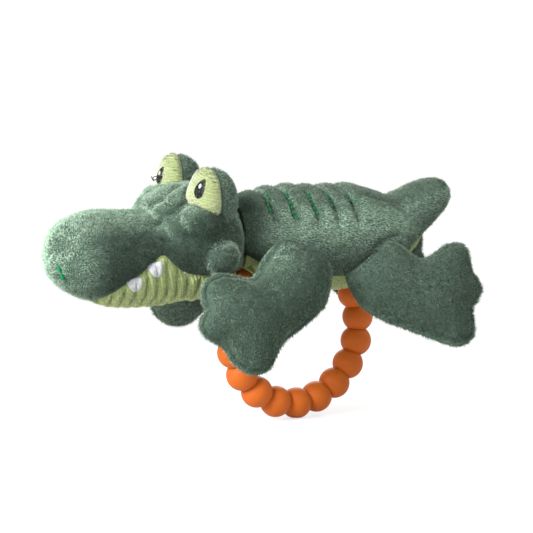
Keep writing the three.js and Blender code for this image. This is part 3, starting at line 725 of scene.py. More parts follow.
# How far a point lies outside an eye, in shares of the eye's radius, stretched to count as millimetres
def eyeEdge(where, side):
    p = moved(where, eyePlace(side).inverted())
    depth = np.where(p[:, 0] < 0, eye["front"], eye["back"])
    reach = np.sqrt((p[:, 0] / depth) ** 2 + (p[:, 1] * 2 / eye["width"]) ** 2 + (p[:, 2] * 2 / eye["height"]) ** 2)
    return (reach - 1) * 9


def cheekSpoke(p, side):
    spoke = p - mirrored(cheek["place"], side)
    return spoke, np.linalg.norm(spoke, axis=1)


puffs = [ellipsoid(pad["radii"], Matrix.Translation(mirrored(pad["place"], side)))
         for side in sides.values() for pad in (cheek, eyePad)]
headOuter = remesh(joined("headOuter", [formOf(head, fabric["nap"]), *puffs]), voxel, 5)


def headHeld(p):
    held = bump(seamDistance(p, mouthLine), 1.5)
    for side in sides.values():
        for path, _, width in folds:
            held = np.maximum(held, bump(pathDistance(p, mirrored(path, side)), width))
        held = np.maximum(held, bump(eyeEdge(p, side), 2.2))
    return np.maximum(held, smoothstep(p[:, 0], -36, -30))


swell(headOuter, headHeld, 1.5, 0.7)


def jawRidge(p):
    return np.abs(np.sin(np.pi * (p[:, 0] + 0.15 * (p[:, 2] - 50) + 0.5 * waves(p, 24, 8)) / 3.9))


def headRelief(p):
    amount = 0.22 * waves(p, 17, 3) + 0.07 * waves(p, 5, 4)
    for side in sides.values():
        for path, depth, width in folds:
            amount -= depth * bump(pathDistance(p, mirrored(path, side)), width) * (1 if side > 0 else 0.8)
        amount -= 0.7 * bump(eyeEdge(p, side), 1.6)
    seam = seamDistance(p, mouthLine)
    amount -= 1.0 * bump(seam, 1.1) * smoothstep(np.abs(p[:, 1]), 6, 14)
    below = seam * (p[:, 2] < np.interp(p[:, 0], mouthLine[:, 0], mouthLine[:, 1]))
    amount += 1.5 * (np.sqrt(jawRidge(p)) - 0.7) * smoothstep(below, 0.5, 2.5)
    return np.maximum(amount, -fabric["dip"] * (1 - 0.6 * bump(p[:, 0] + 61, 5)))


push(headOuter, headRelief(points(headOuter)))
headTree = treeOf(headOuter)
headShell = hollow(headOuter, formOf(head, fabric["wall"] + 0.3), "headShell")
combine(headShell, ellipsoid([neckBall["socket"]] * 3, atNeck), "DIFFERENCE")
print("stage: head form", len(headShell.data.polygons))
headUpper, lowerJaw = parted(headShell, head, mouthLine, 0.02)


# Painted shading of the head's nap: painted shade on the sides behind the snout, painted light on the nose and the
# cheek puffs, and painted shade along the mouth seam, the eye seams, the fold below each eye and around each cheek
# puff
def headPaintedShading(p, up):
    behind = smoothstep(p[:, 0], -92, -78)
    paintedShading = 1.1 * smoothstep(np.abs(up[:, 1]), 0.35, 0.8) * behind + 0.4 * behind - 0.4
    for side in sides.values():
        paintedShading = paintedShading - 1.2 * bump(cheekSpoke(p, side)[1], 7.0)
    paintedShading = shaded(paintedShading, 0.8 * bump(seamDistance(p, mouthLine), 0.8))
    for side in sides.values():
        paintedShading = shaded(paintedShading, 0.7 * bump(eyeEdge(p, side), 0.9))
        paintedShading = shaded(paintedShading, 0.9 * bump(pathDistance(p, mirrored(folds[2][0], side)), 0.7))
        paintedShading = shaded(paintedShading, 0.2 * bump(cheekSpoke(p, side)[1] - cheek["radii"][0] - 0.8, 1.0))
    return paintedShading


def headNap(p):
    nap = (0.45 + 0.55 * smoothstep(seamDistance(p, mouthLine), 0.0, 1.5)) * tufts(p, 91)
    for row in snoutRows + nostrils:
        nap *= 0.25 + 0.75 * smoothstep(pathDistance(p, row), 0.3, 1.3)
    for side in sides.values():
        nap *= 0.6 + 0.4 * smoothstep(np.abs(eyeEdge(p, side)), 0.0, 1.08)
        nap *= 1 + 0.25 * bump(cheekSpoke(p, side)[1], 8)
    return nap


def headComb(p):
    out = p - (-88, 0, 52)
    near = bump(np.linalg.norm(out, axis=1), 22)[:, None]
    way = flow(p, (0.75, 0, -0.5)) * (1 - near) + near * out / 12
    for side in sides.values():
        spoke, size = cheekSpoke(p, side)
        near = bump(size, 8)[:, None]
        way = way * (1 - near) + near * spoke / np.maximum(size, 1)[:, None] * 1.3
    return way + stray(p, 21)


def onTree(tree):
    def nearest(where):
        place, normal, _, _ = tree.find_nearest(Vector(where))
        return np.array(place), np.array(normal)

    return nearest


onHead = onTree(headTree)
down = Vector((0, 0, -1))
snoutRows = [np.array([headTree.ray_cast(Vector((x, y, 120)), down)[0] for y in np.linspace(-3.6, 3.6, 7)])
             for x in (-75.2, -70.2, -66)]
nostrils = [np.array([onHead((-96.6 + 2.3 * t, side * (8.2 + 1.1 * t) + (1 if side > 0 else 0), 64.5 - 5.6 * t))[0]
                      for t in np.linspace(0, 1, 5)]) for side in sides.values()]
sew(headUpper, plush, headOuter, "head", "head_cover", "head_upper", {"head_pile": (1,)}, headComb, headNap,
    paintedShading=headPaintedShading)
# The jaw's nap gets painted shade in the valleys between its ribs and along the mouth seam
sew(lowerJaw, pale, headOuter, "head", "jaw_cover", "lower_jaw", {"jaw_pile": (2,)},
    lambda p: flow(p, (0.2, 0, -0.7)),
    lambda p: 0.5 + 0.5 * smoothstep(seamDistance(p, mouthLine), 0.0, 1.0),
    lambda p: (p[:, 0] + 0.35 * (p[:, 2] - 50)) / 1.25,
    lambda p, up: np.maximum(bump(jawRidge(p), 0.5), 0.8 * bump(seamDistance(p, mouthLine), 0.7)))
print("stage: head covers")

# Eyes
for word, side in sides.items():
    place = eyePlace(side)
    inset = eye["inset"]
    dome = ellipsoid((eye["front"] - inset, eye["width"] / 2 - inset, eye["height"] / 2 - inset), place,
                     eye["back"] - inset, 130, 180)

    def fromSeam(p):
        return moved(p, place.inverted())[:, 0] - eye["seam"]

    def eyeNap(p):
        return 0.5 + 0.5 * smoothstep(np.abs(fromSeam(p)), 0.0, 1.2)

    push(dome, -0.6 * bump(fromSeam(points(dome)), 0.9) + 0.15 * waves(points(dome), 8, 31 + side))
    for part, forward in (("front", True), ("back", False)):
        reach = 2 * eye["height"]
        a, b = (-reach, eye["seam"] - eye["gap"]) if forward else (eye["seam"] + eye["gap"], reach)
        half = sideSlab([(a, -reach), (b, -reach), (b, reach), (a, reach)], reach, place)
        piece = combine(twin(dome, part), half, "INTERSECT")
        combine(piece, headOuter, "DIFFERENCE", keep=True)
        if forward:
            # The eye panel's nap gets painted shade along its seam and on its upward-facing top
            sew(piece, eyeCloth, dome, "head", f"eye_panel_{word}", f"eye_front_{word}",
                {f"eye_panel_pile_{word}": (5 + side,)}, lambda p: flow(p, (0, side * 0.2, -0.5)), eyeNap,
                lambda p: p[:, 2] + 0.15 * side * p[:, 1],
                lambda p, up: np.maximum(0.6 * bump(fromSeam(p), 0.6), 0.62 * smoothstep(up[:, 2], 0.1, 0.7)))
        else:
            # The eye hood's nap gets painted shade all over and more along its seam
            sew(piece, plush, dome, "head", f"eye_hood_{word}", f"eye_back_{word}",
                {f"eye_hood_pile_{word}": (8 + side,)}, lambda p: flow(p, (0.5, 0, -0.7)) + stray(p, 61), eyeNap,
                paintedShading=lambda p, up: np.maximum(0.3, 0.7 * bump(fromSeam(p), 0.7)))
    discard(dome)
print("stage: eyes")

# Torso and tail
torso["stations"] = stationsOf(torso, [
    (0, 0, 0.3, 0.34, 0.34), (0.021, 0, 0.62, 0.7, 0.7), (0.106, 0, 0.84, 0.88, 1), (0.212, 0, 0.97, 0.97, 1.06),
    (0.34, 0, 1, 1, 1.1), (0.467, 0, 1, 1, 1.13), (0.573, 0.02, 0.96, 0.98, 1.13), (0.669, 0.06, 0.84, 0.8, 0.98),
    (0.753, 0.14, 0.66, 0.64, 0.72), (0.822, 0.34, 0.53, 0.56, 0.54), (0.889, 0.58, 0.46, 0.46, 0.46),
    (0.949, 0.76, 0.38, 0.37, 0.38), (0.987, 0.86, 0.24, 0.26, 0.24), (1, 0.89, 0.06, 0.07, 0.07),
])
flankLine = lineOf(torso, [
    (-0.16, -0.1), (0, -0.16), (0.08, -0.34), (0.16, -0.56), (0.3, -0.75), (0.51, -0.8), (0.66, -0.7),
    (0.76, -0.44), (0.83, -0.12), (0.91, 0.14), (1, 0.5),
])
groovesX = [torso["firstGroove"] + i * torso["groovePitch"] for i in range(torso["grooves"])]
hipCrease = [(33.5, -17.9, 69.9), (28.1, -21, 69.5), (23.6, -20.4, 66.3), (19.1, -19, 61.1), (16.4, -13.7, 55.1)]


def torsoHeld(p):
    held = bump(seamDistance(p, flankLine), 1.6)
    for x in groovesX:
        held = np.maximum(held, bump(p[:, 0] - x, 1.5) * smoothstep(p[:, 2], 72, 79))
    return np.maximum(held, 1 - smoothstep(p[:, 0], -26, -20))


def torsoRelief(p):
    amount = 0.25 * waves(p, 19, 5) + 0.07 * waves(p, 5, 6)
    above = smoothstep(p[:, 2], 71, 80)
    for x in groovesX:
        amount -= torso["grooveDepth"] * bump(p[:, 0] - x, torso["grooveWidth"]) * above
    for x in groovesX[:-1]:
        amount += 0.5 * bump(p[:, 0] - x - torso["groovePitch"] / 2, 2.6) * above
    for side in sides.values():
        amount -= 0.7 * bump(pathDistance(p, mirrored(hipCrease, side)), 1.1)
    return amount - 0.8 * bump(seamDistance(p, flankLine), 1.1) * smoothstep(np.abs(p[:, 1]), 3, 9)


# The space that the head takes up as it nods
def headSweep(growth):
    forms = [formOf(head, -growth, atNeck @ turned(nod, "Y") @ atNeck.inverted() @ headInTorso)
             for nod in (-8, 0, 8)]
    for other in forms[1:]:
        combine(forms[0], other, "UNION")
    return forms[0]


def ringSpace():
    angles = np.linspace(0, 2 * math.pi, 97)[:-1]
    n = len(angles)
    verts = [(radius * math.cos(a), side * channel["halfWidth"], ringHeight + radius * math.sin(a))
             for radius in (channel["outer"], channel["inner"]) for side in (-1, 1) for a in angles]
    faces = []
    for i in range(n):
        j = (i + 1) % n
        faces += [(i, j, n + j, n + i), (2 * n + j, 2 * n + i, 3 * n + i, 3 * n + j),
                  (j, i, 2 * n + i, 2 * n + j), (n + i, n + j, 3 * n + j, 3 * n + i)]
    return outward(newMesh("ringSpace", verts, faces, torsoPose.inverted()))


torsoOuter = formOf(torso, fabric["nap"])
torsoOuter.name = "torsoOuter"
remesh(torsoOuter, voxel, 4)
swell(torsoOuter, torsoHeld, 1.5, 0.7)
push(torsoOuter, torsoRelief(points(torsoOuter)))
lining = formOf(torso, fabric["wall"] + 1.3)
for cover, gap, radius in ((torsoOuter, neckBall["gap"], neckBall["radius"]),
                           (lining, fabric["swing"] + fabric["wall"], neckBall["radius"] - fabric["wall"])):
    combine(cover, headSweep(gap), "DIFFERENCE")
    combine(cover, ellipsoid([radius] * 3, atNeck), "UNION")
onTorso = onTree(treeOf(torsoOuter))
torsoShell = hollow(torsoOuter, lining, "torsoShell")
combine(torsoShell, ringSpace(), "DIFFERENCE")
torsoBack, torsoBelly = parted(torsoShell, torso, flankLine, 0.06)
print("stage: torso form", len(torsoBack.data.polygons), len(torsoBelly.data.polygons))

backRows = [
    [(-15.8, -6.9, 86.7), (-16.7, -12.8, 83.8), (-16.8, -16.8, 80.4)],
    [(-8, -8.2, 86.8), (-9.2, -16, 82.4), (-8.5, -20, 77.5)],
    [(0.3, -9, 86.7), (-0.7, -15.9, 82.9), (0, -19.6, 78.5)],
    [(7.4, -10.5, 86.4), (7.3, -17.7, 81.7)],
    [(15.7, -10.5, 86.6), (15.6, -15.7, 83.4)],
]
backRows = [np.array([onTorso(p)[0] for p in spline(mirrored(row, side), np.linspace(0, 1, 7))])
            for row in backRows for side in (1, -1)]


# Painted shading of the back's nap: painted shade on its top, its underside and next to the head where the head's
# shadow falls, painted light on the middle of its flanks, and painted shade along the flank seam, the stitch rows
# and the grooves
def torsoPaintedShading(p, up):
    flank = smoothstep(np.abs(up[:, 1]), 0.55, 0.85) * smoothstep(up[:, 2], -0.25, 0.1)
    middle = smoothstep(p[:, 0], -20, -6) * (1 - smoothstep(p[:, 0], 36, 50))
    paintedShading = 0.65 * smoothstep(up[:, 2], 0.4, 0.75) + 0.6 * smoothstep(-up[:, 2], 0, 0.5) \
        + 0.5 * (1 - smoothstep(p[:, 0], -28, -16)) - 0.8 * flank * middle
    paintedShading = shaded(paintedShading, 0.8 * bump(seamDistance(p, flankLine), 0.8))
    for row in backRows:
        paintedShading = shaded(paintedShading, 0.95 * bump(pathDistance(p, row), 0.8))
    for x in groovesX:
        paintedShading = shaded(paintedShading, 0.45 * bump(p[:, 0] - x, 0.8) * smoothstep(p[:, 2], 74, 80))
    return paintedShading


def torsoNap(p):
    nap = (0.5 + 0.5 * smoothstep(seamDistance(p, flankLine), 0.0, 1.4)) * tufts(p, 93)
    for x in groovesX:
        nap *= 1 - 0.35 * bump(p[:, 0] - x, 0.9) * smoothstep(p[:, 2], 74, 80)
    for row in backRows:
        nap *= 0.15 + 0.85 * smoothstep(pathDistance(p, row), 0.5, 1.6)
    return nap


sew(torsoBack, plush, torsoOuter, "torso", "back_cover", "torso_back",
    {"shoulder_pile": (11, lambda c: c.x < 0.012), "rump_pile": (13, lambda c: c.x >= 0.012)},
    lambda p: flow(p, (0.8, 0, -0.45)) + stray(p, 41), torsoNap, paintedShading=torsoPaintedShading)
sew(torsoBelly, pale, torsoOuter, "torso", "belly_cover", "torso_belly", {"belly_pile": (12,)},
    lambda p: flow(p, (0.3, 0, -0.5)),
    lambda p: 0.5 + 0.5 * smoothstep(seamDistance(p, flankLine), 0.0, 1.0), lambda p: p[:, 0] / 1.25)
print("stage: torso covers")

# Legs
legSizes = {
    "front": {"length": 54, "width": 49, "thickness": 16, "sunkIn": 0.7, "rootX": -8.0, "rootZ": -1.0},
    "rear": {"length": 48.5, "width": 43, "thickness": 15, "sunkIn": 1.8, "rootX": 20.0, "rootZ": -8.0},
}
legOutlines = {
    "front": [
        (0, -0.12), (0.13, -0.22), (0.22, -0.27), (0.37, -0.32), (0.4, -0.42), (0.43, -0.58), (0.5, -0.67),
        (0.58, -0.69), (0.65, -0.66), (0.7, -0.63), (0.76, -0.655), (0.83, -0.64), (0.88, -0.57), (0.9, -0.44),
        (0.96, -0.36), (1, -0.26), (1, -0.15), (0.94, -0.05), (0.83, -0.01), (0.72, 0.03), (0.62, 0.12),
        (0.5, 0.22), (0.38, 0.3), (0.25, 0.32), (0.12, 0.31), (0.03, 0.27), (0, 0.19),
    ],
    "rear": [
        (0, -0.2), (0.03, -0.31), (0.11, -0.36), (0.21, -0.375), (0.32, -0.36), (0.45, -0.325), (0.59, -0.265),
        (0.73, -0.21), (0.87, -0.15), (0.95, -0.1), (1, -0.01), (0.99, 0.09), (0.93, 0.17), (0.86, 0.25),
        (0.85, 0.34), (0.82, 0.43), (0.76, 0.48), (0.68, 0.505), (0.62, 0.56), (0.54, 0.63), (0.46, 0.63),
        (0.39, 0.55), (0.36, 0.42), (0.32, 0.3), (0.21, 0.28), (0.1, 0.27), (0.02, 0.22), (0, 0.12),
    ],
}
legHolds = {
    "front_leg_left": ((-0.345, -0.361, -0.866), (0.93, 0, -0.37), 0),
    "front_leg_right": ((-0.317, 0.551, -0.772), (0.925, 0, -0.38), 0),
    "rear_leg_left": ((0.632, -0.461, -0.623), (0.702, 0, 0.712), 0),
    "rear_leg_right": ((0.955, -0.04, -0.29), (0.29, 0.1, 0.952), 1.6),
}
rim = {"width": 1.5, "halfThickness": 0.8, "groove": 0.75, "inset": 0.15, "hug": 13.0}
legGrid = {"outline": 0.7, "membrane": 0.5, "inner": 0.9, "layers": (0.3, 0.8, 1.4, 1.9, 2.5, 3.2), "clear": 3.9}


def evenLoop(loop, step):
    closed = np.vstack([loop, loop[:1]])
    along = np.concatenate([[0], np.cumsum(np.linalg.norm(np.diff(closed, axis=0), axis=1))])
    count = int(along[-1] / step)
    at = np.arange(count) * along[-1] / count
    return np.stack([np.interp(at, along, closed[:, k]) for k in range(2)], -1)


def insideLoop(where, loop):
    x, y = where[:, 0], where[:, 1]
    inside = np.zeros(len(where), bool)
    for (x0, y0), (x1, y1) in zip(loop, np.roll(loop, -1, axis=0)):
        crosses = (y0 > y) != (y1 > y)
        with np.errstate(divide="ignore", invalid="ignore"):
            inside ^= crosses & (x < (x1 - x0) * (y - y0) / (y1 - y0) + x0)
    return inside


def loopDistance(where, loop):
    return pathDistance(where, np.vstack([loop, loop[:1]]))


# How far a sheet sewn to this outline swells: a membrane's rise on a grid, rounded at its edge
def swellGrid(loop, step, inset):
    low = loop.min(0) - 2 * step
    size = ((loop.max(0) - low) / step).astype(int) + 3
    gx, gy = np.meshgrid(np.arange(size[0]), np.arange(size[1]), indexing="ij")
    where = np.stack([gx.ravel(), gy.ravel()], -1) * step + low
    free = (insideLoop(where, loop) & (loopDistance(where, loop) > inset)).reshape(gx.shape)
    rise = np.zeros(gx.shape)
    for _ in range(2600):
        rise[1:-1, 1:-1] = (rise[:-2, 1:-1] + rise[2:, 1:-1] + rise[1:-1, :-2] + rise[1:-1, 2:] + step * step) / 4
        rise[~free] = 0
    return low, rise


def sampled(grid, low, step, where):
    p = (where - low) / step
    i, j = np.clip(p.astype(int), 0, np.array(grid.shape) - 2).T
    f, g = p[:, 0] - i, p[:, 1] - j
    near, far = (grid[i, j + k] * (1 - f) + grid[i + 1, j + k] * f for k in (0, 1))
    return near * (1 - g) + far * g


def legForm(kind, side):
    size = legSizes[kind]
    loop = evenLoop(closedSpline(legOutlines[kind], 900) * (size["length"], size["width"]), legGrid["outline"])
    edge = np.roll(loop, -1, axis=0) - np.roll(loop, 1, axis=0)
    inwards = np.stack([-edge[:, 1], edge[:, 0]], -1) / np.linalg.norm(edge, axis=1)[:, None]
    if ((loop.mean(0) - loop) * inwards).sum() < 0:
        inwards = -inwards
    loop = loop + inwards * rim["inset"]
    low, membrane = swellGrid(loop, legGrid["membrane"], rim["width"])
    flat = [loop]
    for depth in legGrid["layers"]:
        layer = loop + inwards * depth
        flat.append(layer[loopDistance(layer, loop) > depth - 0.12])
    spacing = legGrid["inner"]
    gx, gy = np.meshgrid(*(np.arange(loop[:, k].min(), loop[:, k].max(), spacing) for k in (0, 1)))
    gx[::2] += spacing / 2
    grid = np.stack([gx.ravel(), gy.ravel()], -1)
    flat.append(grid[insideLoop(grid, loop) & (loopDistance(grid, loop) > legGrid["clear"])])
    count = len(loop)
    verts, _, faces, *_ = delaunay_2d_cdt([Vector(p) for p in np.vstack(flat)],
                                          [(i, (i + 1) % count) for i in range(count)], [], 1, 1e-4)
    verts = np.array([tuple(v) for v in verts])
    depth = loopDistance(verts, loop)
    rise = np.sqrt(np.maximum(sampled(membrane, low, legGrid["membrane"], verts), 0))
    rise *= (size["thickness"] / 2 - fabric["nap"]) / rise.max()
    wedge = np.sin(0.5 * np.pi * np.clip(verts[:, 0] / (0.26 * size["length"]), 0, 1))
    sewn = smoothstep(verts[:, 0], 3, 9)
    flange = rim["halfThickness"] * np.sqrt(np.clip(depth / 0.5, 0, 1)) \
        - rim["groove"] * sewn * bump(depth - rim["width"] - 0.2, 0.5)
    height = np.maximum(flange, 0) * (0.3 + 0.7 * sewn) + rise * wedge ** 0.7
    onRim = depth < 1e-3
    count = len(verts)
    lower = np.where(onRim, np.arange(count), 0)
    lower[~onRim] = count + np.arange((~onRim).sum())
    allPoints = np.vstack([np.column_stack([verts, height]), np.column_stack([verts, -height])[~onRim]])
    faces = [tuple(f) for f in faces] + [tuple(lower[i] for i in reversed(f)) for f in faces]
    return outward(newMesh("leg", allPoints * (1, 1, -side), faces)), loop


def legPlace(kind, side, away, seam, shift):
    size = legSizes[kind]
    v = Vector(seam).normalized()
    u = Vector(away)
    u = (u - v * u.dot(v)).normalized()
    w = u.cross(v)
    root = Vector((size["rootX"], side * (torso["width"] / 2 - size["sunkIn"]), torso["axisZ"] + size["rootZ"]))
    root += u * shift
    return Matrix.Translation(root) @ Matrix((u, v, w)).transposed().to_4x4()


# Draws the end of a leg against the body it is sewn to
def hugBody(leg, kind, fit):
    p = points(leg)
    across = np.linspace(-0.4, 0.4, 25) * legSizes[kind]["width"]
    shift = []
    for v in across:
        line = fit @ Vector((0, v, 0))
        gap = onTorso(line)[0] - np.array(line)
        shift.append(gap * min(1, 4 / max(np.linalg.norm(gap), 1e-6)))
    q = moved(p, fit.inverted())
    share = 1 - smoothstep(q[:, 0], 0, rim["hug"])
    move = np.stack([np.interp(q[:, 1], across, np.array(shift)[:, k]) for k in range(3)], -1)
    setPoints(leg, p + move * share[:, None])


for number, (name, (away, seam, shift)) in enumerate(legHolds.items()):
    kind, _, word = name.split("_")
    side = sides[word]
    leg, loop = legForm(kind, side)
    split = leg.modifiers.new("split", "SUBSURF")
    split.levels = split.render_levels = 1
    bake(leg)
    p = points(leg)
    puff = 0.25 * waves(p, 15, 51 + number) + 0.12 * waves(p, 4, 61 + number)
    push(leg, puff * smoothstep(loopDistance(p[:, :2], loop), 1.5, 4))
    swell(leg, lambda q: np.maximum(1 - smoothstep(loopDistance(q[:, :2], loop), rim["width"], rim["width"] + 2.5),
                                    1 - smoothstep(q[:, 0], 2, 8)), 1.3, 0.8)
    fit = legPlace(kind, side, away, seam, shift)
    leg.data.transform(fit)
    hugBody(leg, kind, fit)
    uncut = twin(leg, "uncut")
    combine(leg, formOf(torso, -0.1), "DIFFERENCE")
    combine(leg, formOf(head, -fabric["swing"], headInTorso), "DIFFERENCE")
    way = np.array(fit)[:3, :2] @ (0.8, 0.35 if kind == "rear" else -0.35)

    def fromRim(p):
        return loopDistance(moved(p, fit.inverted())[:, :2], loop) - rim["width"]

    # Painted shading of a leg's nap: painted shade over the whole leg, a painted highlight on the upper front of
    # each front leg, painted light on the sewn rim and painted shade in the groove just inside it
    def legPaintedShading(p, up):
        # Painted highlight on the upper front of the front leg
        paintedHighlight = bump(np.linalg.norm(p - (-17.8, side * 30.4, 64.5), axis=1), 9)
        paintedShading = 0.6 - 0.6 * paintedHighlight if kind == "front" else 0.82
        inner = fromRim(p)
        return shaded(paintedShading - 0.35 * (1 - smoothstep(inner, -0.6, -0.1)), bump(inner - 0.2, 0.6))

    sew(leg, plush, uncut, name, f"{name}_cover", name, {f"{name}_pile": (21 + number,)},
        lambda p: way + stray(p, 71), lambda p: tufts(p, 95) * (1 - 0.75 * bump(fromRim(p) - 0.2, 0.6)), paintedShading=legPaintedShading)
    discard(uncut)
print("stage: legs")


# Ring: beads of one moulding, drawn as slices of touching balls
ring = {"centreRadius": 29, "bead": 12, "beads": 19, "around": 56, "slices": 16}
sleeve = {"tube": 6.62, "wall": 0.75, "fromDeg": 56, "toDeg": 136, "steps": 96, "around": 64}


# A point of the ring's tube: round the ring by one angle, round the tube by the other
def onRing(turn, tube, girth, crest=ring["centreRadius"]):
    out = crest + girth * math.cos(tube)
    return out * math.cos(turn), girth * math.sin(tube), ringHeight + out * math.sin(turn)


def beadRing():
    half = math.pi / ring["beads"]
    radius, bead, around = ring["centreRadius"], ring["bead"] / 2, ring["around"]
    share = np.sin(np.linspace(-math.pi / 2, math.pi / 2, ring["slices"] + 1)[:-1])
    slices = [(-math.pi / 2 + 2 * half * i, half * s) for i in range(ring["beads"]) for s in share]
    verts = []
    for base, off in slices:
        girth = math.sqrt(max(bead ** 2 - (radius * math.sin(off)) ** 2, 0))
        verts += [onRing(base + off, 2 * math.pi * k / around, girth, radius * math.cos(off)) for k in range(around)]
    n = len(slices)
    verts = np.array(verts)
    verts[:, 2] = np.maximum(verts[:, 2], 0)
    faces = [f for i in range(n) for f in band(i * around, (i + 1) % n * around, around)]
    made = outward(newMesh("ring", verts, faces))
    sharp = {i for c in range(0, n, len(share)) for i in range(c * around, (c + 1) * around)}
    for e in made.data.edges:
        e.use_edge_sharp = e.vertices[0] in sharp and e.vertices[1] in sharp
    return made


def sleeveForm():
    angles = np.radians(np.linspace(sleeve["fromDeg"], sleeve["toDeg"], sleeve["steps"]))
    n, around = len(angles), sleeve["around"]
    verts = []
    for layer in (0, 1):
        for i, a in enumerate(angles):
            pucker = 0.12 * abs(math.sin(36 * a)) if layer else 0
            cuff = math.exp(-(min(i, n - 1 - i) / 9) ** 2) * layer
            for b in 2 * math.pi * np.arange(around) / around:
                flare = cuff * (0.3 + 0.25 * math.cos(9 * b + 1))
                verts.append(onRing(a, b, sleeve["tube"] + layer * sleeve["wall"] - pucker + flare))
    faces = [f for layer in (0, 1) for i in range(n - 1)
             for f in band((layer * n + i) * around, (layer * n + i + 1) * around, around)]
    faces += [f for i in (0, n - 1) for f in band(i * around, (n + i) * around, around)]
    return outward(newMesh("sleeve", verts, faces))


upright = Matrix.Identity(4)
dress(beadRing(), "bead_ring", upright, "ring", "silicone", ["teether_ring"])
dress(sleeveForm(), "sleeve_cloth", upright, "ring_loop", "paleGround", ["ring_sleeve"])
print("stage: ring")


# Small sewn patches: a thin domed plate over an outline, laid on a surface
def patch(outline, project, thick, rings=7, sink=0.15):
    centre = outline.mean(0)
    n = len(outline)

    def lifted(q, height):
        place, normal = project(*q)
        return place + normal * height

    verts = [lifted(centre, thick)]
    for share in [r / rings for r in range(1, rings + 1)]:
        verts += [lifted(q, thick * (1 - share ** 5) ** 0.5) for q in centre + (outline - centre) * share]
    verts += [lifted(q, -sink) for q in (*outline, centre)]
    faces = [(0, 1 + k, 1 + (k + 1) % n) for k in range(n)]
    faces += [f for r in range(rings) for f in band(1 + r * n, 1 + (r + 1) * n, n)]
    a, last = 1 + rings * n, len(verts) - 1
    faces += [(last, a + (k + 1) % n, a + k) for k in range(n)]
    return outward(newMesh("patch", verts, faces))


toothSize = {"width": 4.8, "height": 5.6, "thick": 0.65}
toothOutline = closedSpline([
    (-0.52, 0.34), (-0.2, 0.46), (0.2, 0.5), (0.5, 0.5), (0.52, 0.1), (0.4, -0.3), (0.16, -0.52), (-0.1, -0.5),
    (-0.34, -0.26), (-0.5, 0.04)], 60) * (toothSize["width"], toothSize["height"])
pupilSize = {"width": 4.6, "height": 6.6, "outward": 0.8, "aside": 2.3, "rise": 4.6, "tilt": 0.6, "thick": 0.55}
pupilOutline = closedSpline([
    (0.08, 0.56), (0.36, 0.3), (0.46, -0.08), (0.3, -0.42), (-0.02, -0.52), (-0.36, -0.38), (-0.5, -0.06),
    (-0.3, 0.3)], 48) * (-pupilSize["width"], pupilSize["height"])
glint = {"size": (1.2, 1.9), "shift": (-0.3, 1.0), "lift": 0.22, "sink": -0.45}
glintOutline = closedSpline([(0, 0.5), (0.5, 0.1), (0.1, -0.5), (-0.5, -0.1)], 24) * glint["size"]
for word, side in sides.items():
    for i, (x, z, tilt) in enumerate([(-71.4, 58.4, 14), (-64.8, 64.0, 10)]):
        c, s = math.cos(math.radians(tilt)), math.sin(math.radians(tilt))

        def onJaw(u, v):
            start = Vector((x + u * c - v * s, side * 60, z + u * s + v * c))
            place, normal, _, _ = headTree.ray_cast(start, Vector((0, -side, 0)))
            return np.array(place), np.array(normal)

        dress(patch(toothOutline, onJaw, toothSize["thick"]), f"tooth_patch_{word}_{i + 1}", headPose, "head",
              "satin", [f"tooth_{word}_{i + 1}"])
for word, side in sides.items():
    seat = eyePlace(side)

    def onEye(u, v):
        a, b, c = eye["front"] - 0.5, eye["width"] / 2 - 0.5, eye["height"] / 2 - 0.5
        x = -a * math.sqrt(max(1 - (u / b) ** 2 - (v / c) ** 2, 0.02))
        normal = Vector((x / a ** 2, u / b ** 2, v / c ** 2)).normalized()
        return np.array(seat @ Vector((x, u, v))), np.array(seat.to_3x3() @ normal)

    shift = np.array((side * pupilSize["outward"] - pupilSize["aside"],
                      pupilSize["rise"] - side * pupilSize["tilt"]))
    dress(patch(pupilOutline + shift, onEye, pupilSize["thick"], sink=0.1), f"pupil_stitching_{word}", headPose,
          "head", "blackThread", [f"pupil_{word}"])
    spark = patch(glintOutline + shift + glint["shift"], onEye, pupilSize["thick"] + glint["lift"],
                  sink=glint["sink"])
    dress(spark, f"pupil_glint_{word}", headPose, "head", "whiteThread")
print("stage: patches")


# Stitches: one short padded thread on each mark of a sewn line
def stitch(name, rows, pose, body, settings):
    starts, ends = [], []
    for row in rows:
        along = np.concatenate([[0], np.cumsum(np.linalg.norm(np.diff(row, axis=0), axis=1))])
        count = max(1, int(round(along[-1] / (settings["length"] + settings["gap"]))))
        pitch = along[-1] / count
        for out, shift in ((starts, settings["gap"] / 2), (ends, pitch - settings["gap"] / 2)):
            at = pitch * np.arange(count) + shift
            out += list(np.stack([np.interp(at, along, row[:, k]) for k in range(3)], -1))
    starts, ways = np.array(starts), np.array(ends) - np.array(starts)
    made = newMesh(name, starts + ways / 2, [], toMetres @ pose)
    attribute(made, "along", ways @ np.array(pose.to_3x3()).T, "FLOAT_VECTOR")
    attribute(made, "half", np.linalg.norm(ways, axis=1) / 2 * mm)
    runNodes(made, stitchNodes, {"Radius": settings["radius"] * mm, "Material": materials["greenThread"]})
    fitted(made, body)


